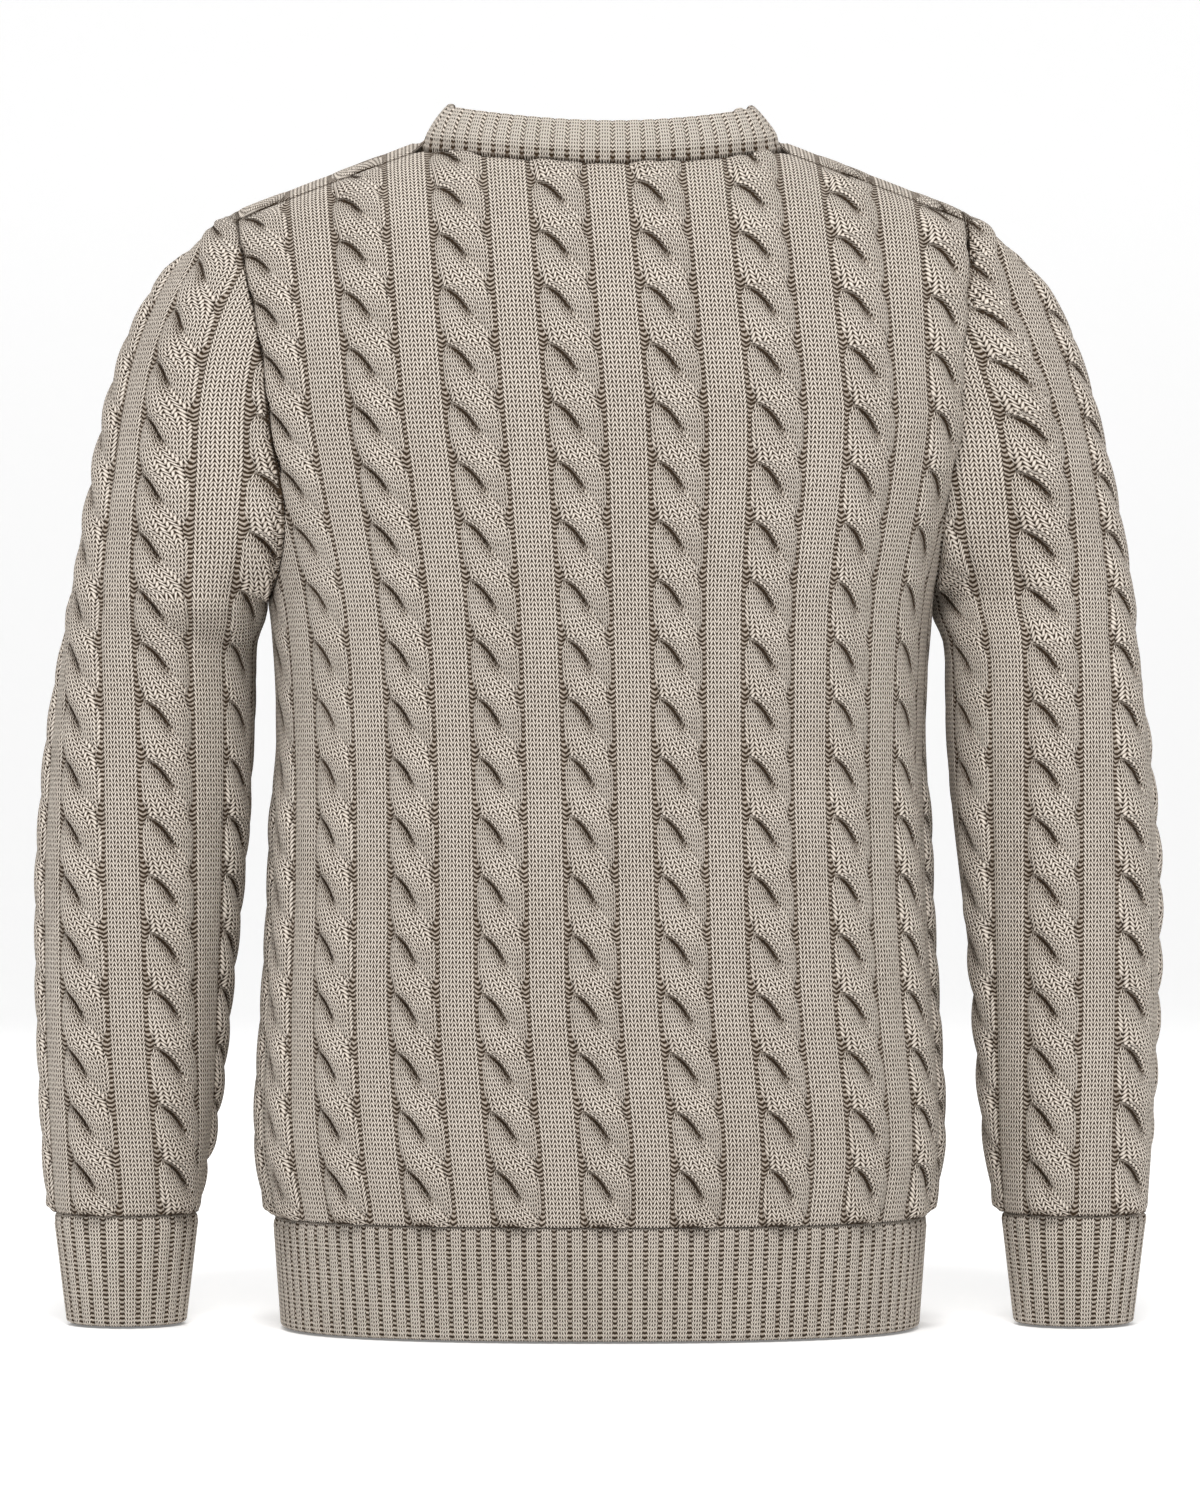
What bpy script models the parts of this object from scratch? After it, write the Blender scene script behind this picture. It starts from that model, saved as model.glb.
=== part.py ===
"""A cable knit sweater, filled out as on a general figure, hollow and open at neck, hem and cuffs.

Metres, +Z up. The wearer faces +Y, and +X is the wearer's right. The origin is on the centre plane, at the
height of the side neck points. Every piece is a closed wall: a form (a smooth surface worked out from the
tables below) carries a knit relief in its outer points, over a plain inside.

Every form is read in two knit directions: w, across the wales, to the right as seen from outside, and c,
along the courses, upwards. Cables, flat panels and ribs are laid out in these directions.
"""
import math

import bpy
import numpy as np

COLLECTION_NAME = "cable_knit_sweater"
YARN_COLOUR = (0.49, 0.42, 0.34, 1.0)
YARN_ROUGHNESS = 0.95

# Cloth
WALL = 0.0026              # knit ground, outer form to plain inside
SEAM_GAP = 0.0003
ARMHOLE_EASE = 0.0010      # a little more, because both edges are polygons of different steps
UNDERARM_CLEAR = 0.0012    # the sleeve's lowest armhole point stands this far out from the body
SEAM_FADE = 0.009          # the relief sinks towards a seam over this length
INNER_INSET = 0.0014       # the plain inside stops this much short of the outer edge
PRESSED_Z = (-0.400, -0.340)   # above these heights body and sleeve lie against each other, pressed flat
RIB_TOP_Z = -0.6180
HEM_Z = -0.6820

# Cable pattern
BODY_REPEAT = 0.0558       # one cable and one flat panel
SLEEVE_REPEAT = 0.0536
CABLE_HALF = 0.0140
GUTTER = 0.0040
TWIST = 0.0330             # length of one strand crossing
STRAND_HIGH = 0.0046
STRAND_LOW = 0.0019
FLAT_HIGH = 0.0013
CROSSING_SHEAR = {-1.0: 0.0, -0.5: 0.5, 0.5: 1.0, 1.0: 1.5}  # place across a cable: crossings passed

# Body: horizontal sections, back to front a superellipse. Above the underarm they run past the armhole cut.
SECTION_POWER = 2.4
PANEL_HALF = 5.0 * BODY_REPEAT
BODY_SECTIONS = (
    # height, half_width, depth_back, depth_front
    (-0.6180, 0.1870, 0.1150, 0.1190),
    (-0.5900, 0.1935, 0.1190, 0.1240),
    (-0.5600, 0.1945, 0.1210, 0.1260),
    (-0.5060, 0.1910, 0.1220, 0.1270),
    (-0.4370, 0.1870, 0.1220, 0.1280),
    (-0.3680, 0.1855, 0.1220, 0.1300),
    (-0.3100, 0.1870, 0.1240, 0.1330),
    (-0.2645, 0.1905, 0.1260, 0.1350),
    (-0.2100, 0.2060, 0.1280, 0.1350),
    (-0.1600, 0.2180, 0.1280, 0.1330),
)
DRIFT = (
    # height, turn: the wales lean round the body, further the lower they are
    (-0.6180, 0.0330),
    (-0.5800, 0.0320),
    (-0.4950, 0.0240),
    (-0.3080, 0.0200),
    (-0.1870, 0.0160),
    (-0.1600, 0.0140),
)
TABLE_BLEND = 0.016        # tables are rounded off over this half height

# Shoulders: the sections close over a ridge along a superellipse
SHOULDER_START_Z = -0.1600
SHOULDER_POWER = 2.2
NECK_HALF = 0.1025
SHOULDER_SLOPE = 0.378
SEAM_BEHIND = math.radians(69.5)   # the shoulder seam lies behind the ridge
SLEEVE_TOP = math.radians(83.8)    # where the sleeve's middle line meets the armhole, nearer the ridge
BACK_NECK = math.radians(49.5)
FRONT_NECK = math.radians(22.0)
BACK_NECK_CURVE = 0.72             # 0.5 gives half an ellipse and 1 a parabola
FRONT_NECK_CURVE = 0.50
ARMHOLE_W = 3.5 * BODY_REPEAT + CABLE_HALF
ARMHOLE_LOW_Z = -0.1950            # the armhole's straight edge ends here and its underarm curve starts
UNDERARM_Z = -0.2645

# Neckband
BAND_STAND = (
    # facing, rise, lean: how the band stands at the front (-1), at the sides (0) and at the back (1)
    (-1.0, 0.0205, 0.0148),
    (-0.6, 0.0200, 0.0158),
    (0.0, 0.0175, 0.0220),
    (0.4, 0.0270, 0.0180),
    (0.8, 0.0265, 0.0130),
    (1.0, 0.0250, 0.0120),
)
BAND_BULGE = 0.0026
BAND_RIBS = 85
BAND_WALL = 0.0024
BAND_RIB = 0.0017
BAND_CLEAR = 0.0006        # from the panels' edge to the band, whose polygon has other steps
BAND_FINE = 4              # layout points for every rib edge
BAND_PLAIN = 34            # points round its plain inside

# Ribs below
HEM_RIBS = 116
CUFF_RIBS = 24
RIB_WALL = 0.0024
RIB_HIGH = 0.0021
HEM_PROFILE = (
    # height, half_width, depth_back, depth_front, rib_share
    (RIB_TOP_Z - SEAM_GAP, 0.1865, 0.1146, 0.1186, 0.0),
    (-0.6250, 0.1859, 0.1142, 0.1182, 1.0),
    (-0.6785, 0.1820, 0.1114, 0.1154, 1.0),
    (HEM_Z, 0.1817, 0.1111, 0.1151, 0.2),
)

# Sleeves: rings turn about the underarm point from the armhole to level, then stay level down to the cuff
SLEEVE_OUTER = (
    # level, out, height: the sleeve's outermost line above the underarm
    (1.00, 0.2110, -0.0425),
    (0.93, 0.2290, -0.0540),
    (0.84, 0.2480, -0.0750),
    (0.70, 0.2680, -0.1120),
    (0.55, 0.2800, -0.1480),
    (0.35, 0.2925, -0.2000),
    (0.15, 0.3010, -0.2450),
    (0.00, 0.3040, -0.2645),
)
SLEEVE_SECTIONS = (
    # height, centre, half_width, half_depth, forward
    (-0.2645, 0.2475, 0.0565, 0.0520, 0.000),
    (-0.2850, 0.2530, 0.0540, 0.0545, 0.001),
    (-0.3160, 0.2552, 0.0562, 0.0560, 0.002),
    (-0.3510, 0.2580, 0.0580, 0.0570, 0.003),
    (-0.4200, 0.2649, 0.0563, 0.0560, 0.006),
    (-0.4890, 0.2692, 0.0520, 0.0520, 0.009),
    (-0.5580, 0.2715, 0.0475, 0.0475, 0.012),
    (-0.5920, 0.2731, 0.0440, 0.0440, 0.014),
    (-0.6180, 0.2744, 0.0408, 0.0410, 0.015),
)
CUFF_PROFILE = (
    # height, centre, half_width, half_depth, forward, rib_share
    (RIB_TOP_Z - SEAM_GAP, 0.2744, 0.0404, 0.0406, 0.015, 0.0),
    (-0.6260, 0.2742, 0.0392, 0.0394, 0.015, 1.0),
    (-0.6785, 0.2740, 0.0329, 0.0331, 0.015, 1.0),
    (HEM_Z, 0.2740, 0.0325, 0.0327, 0.015, 0.2),
)
SLEEVE_TURN = (
    # height, left, right: share of a half turn by which the wales lean to the back
    (-0.6180, 0.52, 0.40),
    (-0.4950, 0.45, 0.39),
    (-0.3200, 0.40, 0.36),
    (-0.2645, 0.36, 0.33),
    (-0.2000, 0.27, 0.26),
    (-0.1150, 0.13, 0.12),
    (-0.0425, 0.00, 0.00),
)
SEAM_TURN = 0.16           # the sleeve seam's own share of a half turn at the wrist
SLEEVE_BACK_W = 0.135      # knit width from the wales' middle line to the seam, at the armhole
SLEEVE_FRONT_W = 0.225
SLEEVE_EASE_POWER = 1.1


def smooth_step(share):
    share = np.clip(share, 0.0, 1.0)
    return share * share * (3.0 - 2.0 * share)


def read_table(table, column, at):
    """A table's column at a height, its corners rounded off."""
    rows = sorted(table)
    heights = [row[0] for row in rows]
    values = [row[column] for row in rows]
    shifts = np.linspace(-TABLE_BLEND, TABLE_BLEND, 9)
    return sum(np.interp(np.asarray(at) + shift, heights, values) for shift in shifts) / len(shifts)


def grid_read(table, row, column):
    """Bilinear reading of a table of points at fractional row and column numbers."""
    row = np.clip(np.asarray(row, float), 0.0, table.shape[0] - 1.0001)
    column = np.clip(np.asarray(column, float), 0.0, table.shape[1] - 1.0001)
    low_row = row.astype(int)
    low_column = column.astype(int)
    down = (row - low_row)[..., None]
    across = (column - low_column)[..., None]
    first = table[low_row, low_column] * (1 - across) + table[low_row, low_column + 1] * across
    second = table[low_row + 1, low_column] * (1 - across) + table[low_row + 1, low_column + 1] * across
    return first * (1 - down) + second * down


def even_points(points, count):
    """A polyline's points, spaced evenly along it."""
    steps = np.linalg.norm(np.diff(points, axis=0), axis=1)
    along = np.concatenate([[0.0], np.cumsum(steps)])
    wanted = np.linspace(0.0, along[-1], count)
    return np.stack([np.interp(wanted, along, points[:, axis]) for axis in range(points.shape[1])], axis=1)


# ---------------------------------------------------------------------------------------------- body form
QUARTER_POINTS = 65
LEVEL_ROWS = 73


def quarter_section(half_width, depth):
    """From the centre line to the side, x out and y back, evenly spaced."""
    angle = np.linspace(0.0, math.pi / 2, 181)
    x = half_width * np.sin(angle) ** (2 / SECTION_POWER)
    y = depth * np.cos(angle) ** (2 / SECTION_POWER)
    return even_points(np.stack([x, y], axis=1), QUARTER_POINTS)


SECTION_ROW_HEIGHTS = np.linspace(RIB_TOP_Z, SHOULDER_START_Z, LEVEL_ROWS)
QUARTERS = {
    depth_column: np.stack([
        quarter_section(read_table(BODY_SECTIONS, 1, height), read_table(BODY_SECTIONS, depth_column, height))
        for height in SECTION_ROW_HEIGHTS
    ])
    for depth_column in (2, 3)
}
TOP_HALF_WIDTH = float(read_table(BODY_SECTIONS, 1, SHOULDER_START_Z))
TOP_DEPTH = {column: float(read_table(BODY_SECTIONS, column, SHOULDER_START_Z)) for column in (2, 3)}


def ridge_height(x):
    x = np.abs(x)
    inside = 0.5 * SHOULDER_SLOPE * NECK_HALF * (1 - (x / NECK_HALF) ** 2)
    return np.where(x < NECK_HALF, inside, -SHOULDER_SLOPE * (x - NECK_HALF))


def body_drift(level):
    """How far the wales have turned, in pattern width, at a level. Past the ridge they meet those of the
    other panel."""
    past = np.where(np.asarray(level) > 2.0, -1.0, 1.0)
    level = np.minimum(level, 4.0 - np.asarray(level))
    height = RIB_TOP_Z + np.minimum(level, 1.0) * (SHOULDER_START_Z - RIB_TOP_Z)
    rise = np.sin(np.clip(level - 1.0, 0.0, 1.0) * math.pi / 2) ** (2 / SHOULDER_POWER)
    return past * read_table(DRIFT, 1, height) * (1 - rise)


def body_point(level, around):
    """level 0 is the top of the hem rib, 1 the start of the shoulders, 2 the ridge; past 2 it runs down the
    other side. around is 0 at the centre back, 1 at the right side and 2 at the centre front."""
    level = np.asarray(level, float)
    around = (np.asarray(around, float) + 2.0) % 4.0 - 2.0
    side = np.where(around < 0, -1.0, 1.0)
    share = np.abs(around)
    front = share > 1.0
    share = np.where(front, 2.0 - share, share)
    over = level > 2.0
    front = front != over
    level = np.where(over, 4.0 - level, level)
    row = np.minimum(level, 1.0) * (LEVEL_ROWS - 1)
    column = share * (QUARTER_POINTS - 1)
    back_xy = grid_read(QUARTERS[2], row, column)
    front_xy = grid_read(QUARTERS[3], row, column)
    section = np.where(front[..., None], front_xy, back_xy)
    angle = np.clip(level - 1.0, 0.0, 1.0) * math.pi / 2
    rise = np.sin(angle) ** (2 / SHOULDER_POWER)
    closing = np.cos(angle) ** (2 / SHOULDER_POWER)
    top_x = share * PANEL_HALF
    lift = smooth_step(rise)
    x = section[..., 0] + (np.minimum(top_x, TOP_HALF_WIDTH * 0.985) - section[..., 0]) * lift
    reach = np.clip(1 - (np.clip(x, 0, None) / TOP_HALF_WIDTH) ** SECTION_POWER, 0.0, 1.0)
    depth = np.where(front, TOP_DEPTH[3], TOP_DEPTH[2]) * reach ** (1 / SECTION_POWER) * closing
    y = np.where(level > 1.0, depth, section[..., 1])
    low = RIB_TOP_Z + np.minimum(level, 1.0) * (SHOULDER_START_Z - RIB_TOP_Z)
    z = np.where(level > 1.0, SHOULDER_START_Z + (ridge_height(x) - SHOULDER_START_Z) * rise, low)
    return np.stack([side * x, np.where(front, y, -y), z], axis=-1)


class BodyPanel:
    """The back (middle 0) or the front (middle 2), read by pattern width w and course length c."""

    def __init__(self, middle):
        self.middle = middle
        seam_share = SEAM_BEHIND / (math.pi / 2)
        self.top_level = 1.0 + seam_share if middle == 0 else 3.0 - seam_share
        past_ridge = np.linspace(2.03, 2.27, 9)
        self.levels = np.concatenate([np.linspace(0, 1, 60), np.linspace(1, 2, 60)[1:], past_ridge])
        self.course_cache = {}

    def around(self, w, level):
        return self.middle + (w + body_drift(level)) / PANEL_HALF

    def courses(self, w):
        """Length along the wale at each level."""
        key = round(float(w), 7)
        if key not in self.course_cache:
            points = body_point(self.levels, self.around(w, self.levels))
            steps = np.linalg.norm(np.diff(points, axis=0), axis=1)
            self.course_cache[key] = np.concatenate([[0.0], np.cumsum(steps)])
        return self.course_cache[key]

    def level_of(self, w, c):
        return float(np.interp(c, self.courses(w), self.levels))

    def course_of(self, w, level):
        return float(np.interp(level, self.levels, self.courses(w)))

    def neck_level(self, w, inset=0.0):
        """The level of the panel's top edge."""
        share = abs(w) / (NECK_HALF + inset)
        if share >= 1.0:
            return self.top_level
        low, curve = (BACK_NECK, BACK_NECK_CURVE) if self.middle == 0 else (FRONT_NECK, FRONT_NECK_CURVE)
        return self.top_level - (self.top_level - 1.0 - low / (math.pi / 2)) * (1 - share ** 2) ** curve

    def underarm_level(self, w):
        """The level of the armhole's curve, outside its straight edge."""
        share = (PANEL_HALF - abs(w)) / (PANEL_HALF - ARMHOLE_W)
        lift = 1 - math.sqrt(max(0.0, 1 - min(1.0, share) ** 2))
        height = UNDERARM_Z + (ARMHOLE_LOW_Z - UNDERARM_Z) * lift
        return (height - RIB_TOP_Z) / (SHOULDER_START_Z - RIB_TOP_Z)

    def top(self, w, inset=0.0):
        if abs(w) > ARMHOLE_W - inset + 1e-6:
            return self.course_of(w, self.underarm_level(w)) - SEAM_GAP - inset
        return self.course_of(w, self.neck_level(w, inset)) - SEAM_GAP - inset

    def straight_edge_low(self, w):
        return self.course_of(w, (ARMHOLE_LOW_Z - RIB_TOP_Z) / (SHOULDER_START_Z - RIB_TOP_Z))

    def place(self, w, c):
        level = self.level_of(w, c)
        return body_point(level, self.around(w, level))

    def normal(self, w, c):
        level = self.level_of(w, c)
        step = 0.012
        around = self.around(w, level)
        across = body_point(level, around + step) - body_point(level, around - step)
        high = min(level + step, self.levels[-1])
        up = (body_point(high, self.around(w, high))
              - body_point(max(level - step, 0.0), self.around(w, max(level - step, 0.0))))
        normal = np.cross(across, up)
        return normal / np.linalg.norm(normal)


# -------------------------------------------------------------------------------------------- sleeve form
RING_POINTS = 121


def armhole_half(panel, sign):
    """Points and body normals on the armhole's edge, from the sleeve's top down to the underarm on one
    panel's side, a seam gap inside the hole."""
    edge_w = sign * (ARMHOLE_W + ARMHOLE_EASE)
    low = panel.straight_edge_low(edge_w)
    sleeve_share = SLEEVE_TOP / (math.pi / 2)
    high = panel.course_of(edge_w, 1.0 + sleeve_share if panel.middle == 0 else 3.0 - sleeve_share)
    places = [(edge_w, c) for c in np.linspace(high, low, 40)]
    for share in np.linspace(0.03, 1.0, 30):
        w = sign * (ARMHOLE_W + (PANEL_HALF - ARMHOLE_W) * math.sin(share * math.pi / 2))
        places.append((w, panel.course_of(w, panel.underarm_level(w)) + ARMHOLE_EASE - SEAM_GAP))
    points = [np.concatenate([panel.place(w, c), panel.normal(w, c)]) for w, c in places]
    steps = np.linalg.norm(np.diff(np.array(points)[:, :3], axis=0), axis=1)
    along = np.concatenate([[0.0], np.cumsum(steps)])
    wanted = np.linspace(0.0, along[-1], RING_POINTS)
    both = np.stack([np.interp(wanted, along, np.array(points)[:, axis]) for axis in range(6)], axis=1)
    return both[:, :3], both[:, 3:] / np.linalg.norm(both[:, 3:], axis=1)[:, None]


class Sleeve:
    """side is +1 for the wearer's right. w runs to the right as seen from outside and c up from the cuff."""

    def __init__(self, side, back, front):
        self.side = side
        self.turn_column = 2 if side > 0 else 1
        # the panel's w sign on this side: the back's w grows towards +X, the front's towards -X
        back_half, back_normals = armhole_half(back, side)
        front_half, front_normals = armhole_half(front, -side)
        self.edge_normals = (back_normals, front_normals)
        self.underarm = 0.5 * (back_half[-1] + front_half[-1]) + np.array([side * UNDERARM_CLEAR, 0.0, 0.0])
        self.rings = []
        self.add_level_rings()
        self.add_fan_rings(back_half, front_half)
        self.lay_out()

    def ellipse_halves(self, high, low, half_depth, middle_shift):
        """Back and front halves of a ring, from its outer point to its inner point."""
        angle = np.linspace(0.0, math.pi, 181)
        middle = 0.5 * (high + low) + middle_shift
        reach = 0.5 * (high - low)
        halves = []
        for back in (-1.0, 1.0):
            depth = np.array([0.0, back * half_depth, 0.0])
            points = middle + np.outer(np.cos(angle), reach) + np.outer(np.sin(angle), depth)
            halves.append(even_points(points, RING_POINTS))
        return halves

    def add_level_rings(self):
        heights = np.linspace(RIB_TOP_Z, UNDERARM_Z, 61)[:-1]
        for height in heights:
            centre, half_width, half_depth, forward = (
                float(read_table(SLEEVE_SECTIONS, column, height)) for column in (1, 2, 3, 4))
            near = smooth_step((height - (UNDERARM_Z - 0.024)) / 0.024)
            inner = (centre - half_width) * (1 - near) + abs(self.underarm[0]) * near
            high = np.array([self.side * (centre + half_width), forward, height])
            low = np.array([self.side * inner, forward * (1 - near) + self.underarm[1] * near, height])
            low[2] = height + (self.underarm[2] - UNDERARM_Z) * near
            self.rings.append((height, 0.0, *self.ellipse_halves(high, low, half_depth, 0.0)))

    def add_fan_rings(self, back_half, front_half):
        rows = sorted(SLEEVE_OUTER)
        levels = [row[0] for row in rows]
        armhole = (back_half, front_half)
        top = armhole[0][0]
        half_depth_low = float(read_table(SLEEVE_SECTIONS, 3, UNDERARM_Z))
        half_depth_high = 0.5 * (front_half[:, 1].max() - back_half[:, 1].min())
        base = self.ellipse_halves(top, self.underarm, half_depth_high, 0.0)
        for level in np.linspace(0.0, 1.0, 41):
            near_levels = np.array([level - 0.03, level, level + 0.03])
            out, height = (float(np.interp(near_levels, levels, [r[k] for r in rows]).mean()) for k in (1, 2))
            high = np.array([self.side * out, 0.0, height])
            near = smooth_step((level - 0.80) / 0.20)
            high = high * (1 - near) + top * near
            half_depth = half_depth_low + (half_depth_high - half_depth_low) * smooth_step(level)
            halves = self.ellipse_halves(high, self.underarm, half_depth, 0.0)
            share = level ** 2
            shaped = [half + (edge - plain) * share for half, edge, plain in zip(halves, armhole, base)]
            self.rings.append((height, level, *shaped))

    def lay_out(self):
        """Arc length tables: for every ring the wale halves, evenly spaced from the wales' middle line."""
        count = 61
        grids = []
        widths = []
        for height, level, back_half, front_half in self.rings:
            loop = np.concatenate([back_half, front_half[-2:0:-1]])
            total = len(loop)
            turn = float(read_table(SLEEVE_TURN, self.turn_column, height))
            seam = 1.0 + SEAM_TURN * smooth_step((UNDERARM_Z - 0.01 - height) / 0.33)
            position = turn * (RING_POINTS - 1)
            seam_position = seam * (RING_POINTS - 1)
            back_index = np.linspace(position, seam_position, count * 2)
            front_index = np.linspace(position, seam_position - total, count * 2)
            halves = [even_points(self.loop_read(loop, index), count) for index in (back_index, front_index)]
            lengths = [np.linalg.norm(np.diff(half, axis=0), axis=1).sum() for half in halves]
            grids.append(halves)
            widths.append(((lengths[0], SLEEVE_BACK_W), (lengths[1], SLEEVE_FRONT_W)))
        self.half_grids = [np.stack([pair[k] for pair in grids]) for k in (0, 1)]
        self.widths = [np.array([row[k] for row in widths]) for k in (0, 1)]
        self.course_cache = {}

    def loop_read(self, loop, index):
        index = np.asarray(index) % len(loop)
        low = index.astype(int)
        part = (index - low)[:, None]
        return loop[low] * (1 - part) + loop[(low + 1) % len(loop)] * part

    def half_of(self, w):
        """0 for the back half, 1 for the front half."""
        return 0 if w * self.side < 0 else 1

    def half_width(self, w):
        return (SLEEVE_BACK_W, SLEEVE_FRONT_W)[self.half_of(w)]

    def shares(self, w):
        """Share of the ring's half, middle line to seam, at which a wale runs, for every ring."""
        length, width = self.widths[self.half_of(w)].T
        squeeze = 1 - width / length
        s = np.minimum(abs(w), width)
        for _ in range(30):
            value = s * (1 - squeeze * (s / length) ** SLEEVE_EASE_POWER)
            slope = 1 - squeeze * (1 + SLEEVE_EASE_POWER) * (s / length) ** SLEEVE_EASE_POWER
            s = np.clip(s - (value - np.minimum(abs(w), width)) / np.maximum(slope, 0.15), 0.0, length)
        return s / length

    def column(self, w):
        key = round(float(w), 7)
        if key not in self.course_cache:
            shares = self.shares(w)
            grid = self.half_grids[self.half_of(w)]
            rows = np.arange(len(self.rings))
            points = grid_read(grid, rows, shares * (grid.shape[1] - 1))
            steps = np.linalg.norm(np.diff(points, axis=0), axis=1)
            self.course_cache[key] = (np.concatenate([[0.0], np.cumsum(steps)]), shares)
        return self.course_cache[key]

    def top(self, w):
        return float(self.column(w)[0][-1])

    def place(self, w, c):
        courses, shares = self.column(w)
        row = np.interp(c, courses, np.arange(len(courses)))
        grid = self.half_grids[self.half_of(w)]
        share = np.interp(row, np.arange(len(shares)), shares)
        return grid_read(grid, row, share * (grid.shape[1] - 1))

    def edge_normal(self, w):
        """At the armhole the wall leans as the body's does, and turns under towards the underarm."""
        share = float(self.column(w)[1][-1])
        half = self.edge_normals[self.half_of(w)]
        shared = half[int(round(share * (len(half) - 1)))]
        own = self.normal(w, self.top(w))
        under = float(smooth_step((share - 0.62) / 0.30))
        normal = shared * (1 - under) + own * under
        return normal / np.linalg.norm(normal)

    def normal(self, w, c):
        step_c, step_w = 0.006, 0.005
        high = min(c + step_c, self.top(w))
        low = max(c - step_c, 0.0)
        up = self.place(w, high) - self.place(w, low)
        across = self.place(w + step_w, c) - self.place(w - step_w, c)
        normal = np.cross(across, up)
        return normal / np.linalg.norm(normal)


# ------------------------------------------------------------------------------------------- wall meshes
class Wall:
    """A closed wall: outer faces, plain inner faces and the rims between them."""

    def __init__(self):
        self.points = []
        self.index_of = {}
        self.faces = []
        self.skins = []

    def vertex(self, key, make):
        if key not in self.index_of:
            self.index_of[key] = len(self.points)
            self.points.append(np.asarray(make(), float))
        return self.index_of[key]

    def zip_chains(self, faces, left, right):
        """Triangles between two chains of (vertex, key), both going up, the left one at smaller w."""
        i = j = 0
        while i + 1 < len(left) or j + 1 < len(right):
            next_left = left[i + 1][1] if i + 1 < len(left) else math.inf
            next_right = right[j + 1][1] if j + 1 < len(right) else math.inf
            a, b = left[i][0], right[j][0]
            if next_left <= next_right:
                i += 1
                third = left[i][0]
            else:
                j += 1
                third = right[j][0]
            if len({a, b, third}) == 3:
                faces.append((a, b, third))

    def add_skin(self, faces, outward):
        self.skins.append(faces)
        self.faces += faces if outward else [face[::-1] for face in faces]

    def close(self):
        """Join the outer and inner skins along their edges."""
        outer_loops, inner_loops = (edge_loops(faces) for faces in self.skins)
        for outer in outer_loops:
            here = self.points[outer[0]]
            inner = min(inner_loops, key=lambda loop: min(
                np.linalg.norm(self.points[v] - here) for v in loop))
            start = min(range(len(inner)), key=lambda k: np.linalg.norm(self.points[inner[k]] - here))
            self.join_loops(outer + outer[:1], inner[start:] + inner[:start + 1])

    def join_loops(self, outer, inner):
        outer_share = self.shares(outer)
        inner_share = self.shares(inner)
        i = j = 0
        while i + 1 < len(outer) or j + 1 < len(inner):
            ahead = math.inf
            if i + 1 < len(outer):
                ahead = self.apart(outer[i + 1], inner[j]) + abs(outer_share[i + 1] - inner_share[j]) * 0.05
            behind = math.inf
            if j + 1 < len(inner):
                behind = self.apart(outer[i], inner[j + 1]) + abs(outer_share[i] - inner_share[j + 1]) * 0.05
            if ahead <= behind:
                self.faces.append((outer[i + 1], outer[i], inner[j]))
                i += 1
            else:
                self.faces.append((outer[i], inner[j], inner[j + 1]))
                j += 1

    def apart(self, a, b):
        return float(np.linalg.norm(self.points[a] - self.points[b]))

    def shares(self, loop):
        steps = [self.apart(a, b) for a, b in zip(loop, loop[1:])]
        total = sum(steps)
        return [sum(steps[:k]) / total for k in range(len(loop))]

    def build(self, name, collection, material):
        mesh = bpy.data.meshes.new(name)
        mesh.from_pydata([tuple(point) for point in self.points], [], self.faces)
        mesh.validate()
        mesh.shade_smooth()
        mesh.set_sharp_from_angle(angle=math.radians(50))
        mesh.materials.append(material)
        thing = bpy.data.objects.new(name, mesh)
        collection.objects.link(thing)
        return thing


def edge_loops(faces):
    """The open edges of some faces as closed loops, in the faces' own direction."""
    edges = set()
    for face in faces:
        for a, b in zip(face, face[1:] + face[:1]):
            if (b, a) in edges:
                edges.remove((b, a))
            else:
                edges.add((a, b))
    following = dict(edges)
    loops = []
    while following:
        start = next(iter(following))
        loop = [start]
        while following[loop[-1]] != start:
            loop.append(following.pop(loop[-1]))
        following.pop(loop[-1])
        loops.append(loop)
    return loops


def cable_columns(repeat, half, extra):
    """(w, shear, kind) for every wale line of a cabled cloth between -half and half."""
    columns = {}
    for number in range(-6, 6):
        centre = (number + 0.5) * repeat
        for place, shear in CROSSING_SHEAR.items():
            kind = "gutter" if abs(place) == 1.0 else "strand"
            columns[round(centre + place * CABLE_HALF, 7)] = (shear, kind)
        columns[round(centre + CABLE_HALF + GUTTER, 7)] = (0.0, "flat")
        columns[round(centre - CABLE_HALF - GUTTER, 7)] = (0.0, "flat")
    for w in extra:
        if not any(abs(w - other) < 0.0012 for other in columns):
            columns[round(w, 7)] = (0.0, "flat")
    return [(w, *columns[w]) for w in sorted(columns) if abs(w) < half - 0.0015]


def course_rows(shear, kind, low, high, close_from):
    """(c, height) along one wale line, with its own ends. Flat wales have every other row below
    close_from."""
    per_twist = 2 if kind == "strand" else 1
    rows = [(low, 0.0)]
    first = math.floor(low / TWIST) - 1
    last = math.ceil(high / TWIST) + 4
    margin = 0.16 * TWIST
    for number in range(first * per_twist, last * per_twist):
        c = TWIST * (number / per_twist - shear)
        sparse = kind == "flat" and number % 2 and low + 2 * TWIST < c < close_from
        if sparse or not low + margin < c < high - margin:
            continue
        if kind == "strand":
            height = STRAND_LOW if number % 2 == 0 else STRAND_HIGH
        else:
            height = FLAT_HIGH if kind == "flat" else 0.0
        rows.append((c, height * smooth_step(min(c - low, high - c) / SEAM_FADE)))
    rows.append((high, 0.0))
    return rows


def pressed(facing, height):
    """What is left of the relief where body and sleeve face each other under the arm."""
    zone = smooth_step((height - PRESSED_Z[0]) / (PRESSED_Z[1] - PRESSED_Z[0]))
    return 1.0 - 0.75 * float(zone * smooth_step((facing - 0.25) / 0.45))


def plain_rows(low, high, spacing):
    count = max(1, round((high - low) / spacing))
    return [(c, 0.0) for c in np.linspace(low, high, count + 1)]


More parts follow.
